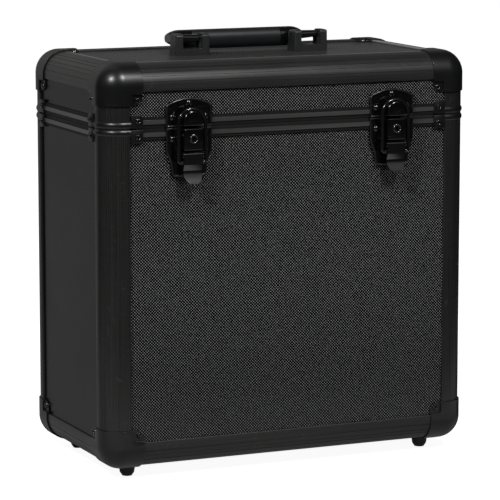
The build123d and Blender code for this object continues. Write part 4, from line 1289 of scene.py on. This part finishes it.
def frontOutline(shape):  # round the front face, anticlockwise as the front shows it
    facing = [face for face in shape.faces if face.normal.y < -rolledRim["squareOn"]]
    largest = max(facing, key=lambda face: face.calc_area())
    plane = largest.calc_center_median().y
    near = rolledRim["sameFace"] * mm
    front = [face for face in facing if abs(face.calc_center_median().y - plane) < near]
    after = {}
    for face in front:
        for loop in face.loops:
            beyond = [other for other in loop.edge.link_faces if other is not face]
            if not any(other in front for other in beyond):
                after[loop.vert] = loop.link_loop_next.vert
    outlines = []
    while after:
        vertex = next(iter(after))
        outline = []
        while vertex in after:
            outline.append(vertex.co.copy())
            vertex = after.pop(vertex)
        outlines.append(outline)
    return max(outlines, key=lambda points: max(p.x for p in points) - min(p.x for p in points))


def spaced(points, step):
    path = []
    for start, end in zip(points, points[1:] + points[:1]):
        count = max(1, round((end - start).length / step))
        path += [start.lerp(end, index / count) for index in range(count)]
    return path


def makeRolledRims():
    for node, body in rolledRim["nodes"].items():
        outline = cleanCopy(node)
        path = spaced(frontOutline(outline), rolledRim["step"] * mm)
        outline.free()
        inner = []
        for index, point in enumerate(path):
            along = (path[(index + 1) % len(path)] - path[index - 1]).normalized()
            inward = Vector((-along.z, 0, along.x)) * rolledRim["inset"] * mm
            spot = point + inward
            spot.y += rolledRim["sink"] * mm
            inner.append(spot)
        shape = bmesh.new()
        addTube(shape, inner, rolledRim["radius"] * mm, rolledRim["sides"], closed=True)
        name = node + "_rim"
        mesh = closeMesh(shape, name, rolledRim["crease"])
        newPiece(name, mesh, body, "rimPaint")


# Handle: the padded grip hangs a little lower than its core, and its collars follow it

handle = {  # in millimetres
    "pieces": {  # finish, slot, edge radius
        "handle_grip": ("rubber", "black_rubber", 0.5),
        "handle_frame": ("wirePaint", "black_steel", 0.35),
    },
    "top": 383.7,
    "padding": 1.2,  # how much deeper the grip is than its core
    "fadeFrom": 54.0,  # from the middle, along the handle
    "fadeTo": 63.0,
}


def makeHandle():
    fade = handle["fadeTo"] - handle["fadeFrom"]
    for node, (finish, slot, edge) in handle["pieces"].items():
        shape = cleanCopy(node)
        for vertex in shape.verts:
            across = abs(vertex.co.x) / mm
            share = min(max((handle["fadeTo"] - across) / fade, 0.0), 1.0)
            under = handle["top"] * mm - vertex.co.z
            vertex.co.z -= under * (handle["padding"] - 1.0) * share
        name = node + "_piece"
        obj = newPiece(name, closeMesh(shape, name), bodyOf(node), finish, [node])
        soften(obj, edge)


plainNodes = {  # nodes whose own shape is shown, by their finish
    "laminateFront": ["body_front_panel", "body_back_panel", "lid_front_panel", "lid_back_panel"],
    "laminateSide": ["body_left_panel", "body_right_panel", "lid_left_panel", "lid_right_panel"],
    "laminateLevel": ["bottom_panel", "lid_top_panel"],
    "felt": ["body_lining", "lid_lining"],
    "footRubber": ["feet"],
    "rivetPaint": ["latch_base_rivets", "keeper_rivets"],
    "darkSteel": [
        "foot_screws",
        "lever_pins",
        "hinge_pins",
        "handle_bracket_screws",
        "handle_pins",
        "key_plug_left",
        "key_plug_right",
    ],
}


def dressNodes():
    for finish, members in plainNodes.items():
        for node in members:
            dress(nodes[node], finish)


makeCamera()
makeSky()
makeFloor()
makeLights()
print("studio made")
makeSoftPieces()
print("soft pieces made")
makeBars()
print("edge bars made")
makeRivets()
print("rivets made")
makeStraps()
print("straps made")
makeBails()
print("bails and lock rings made")
makeRolledRims()
print("rolled rims made")
makeHandle()
print("handle made")
dressNodes()
print("panels, linings, feet and small fasteners dressed")
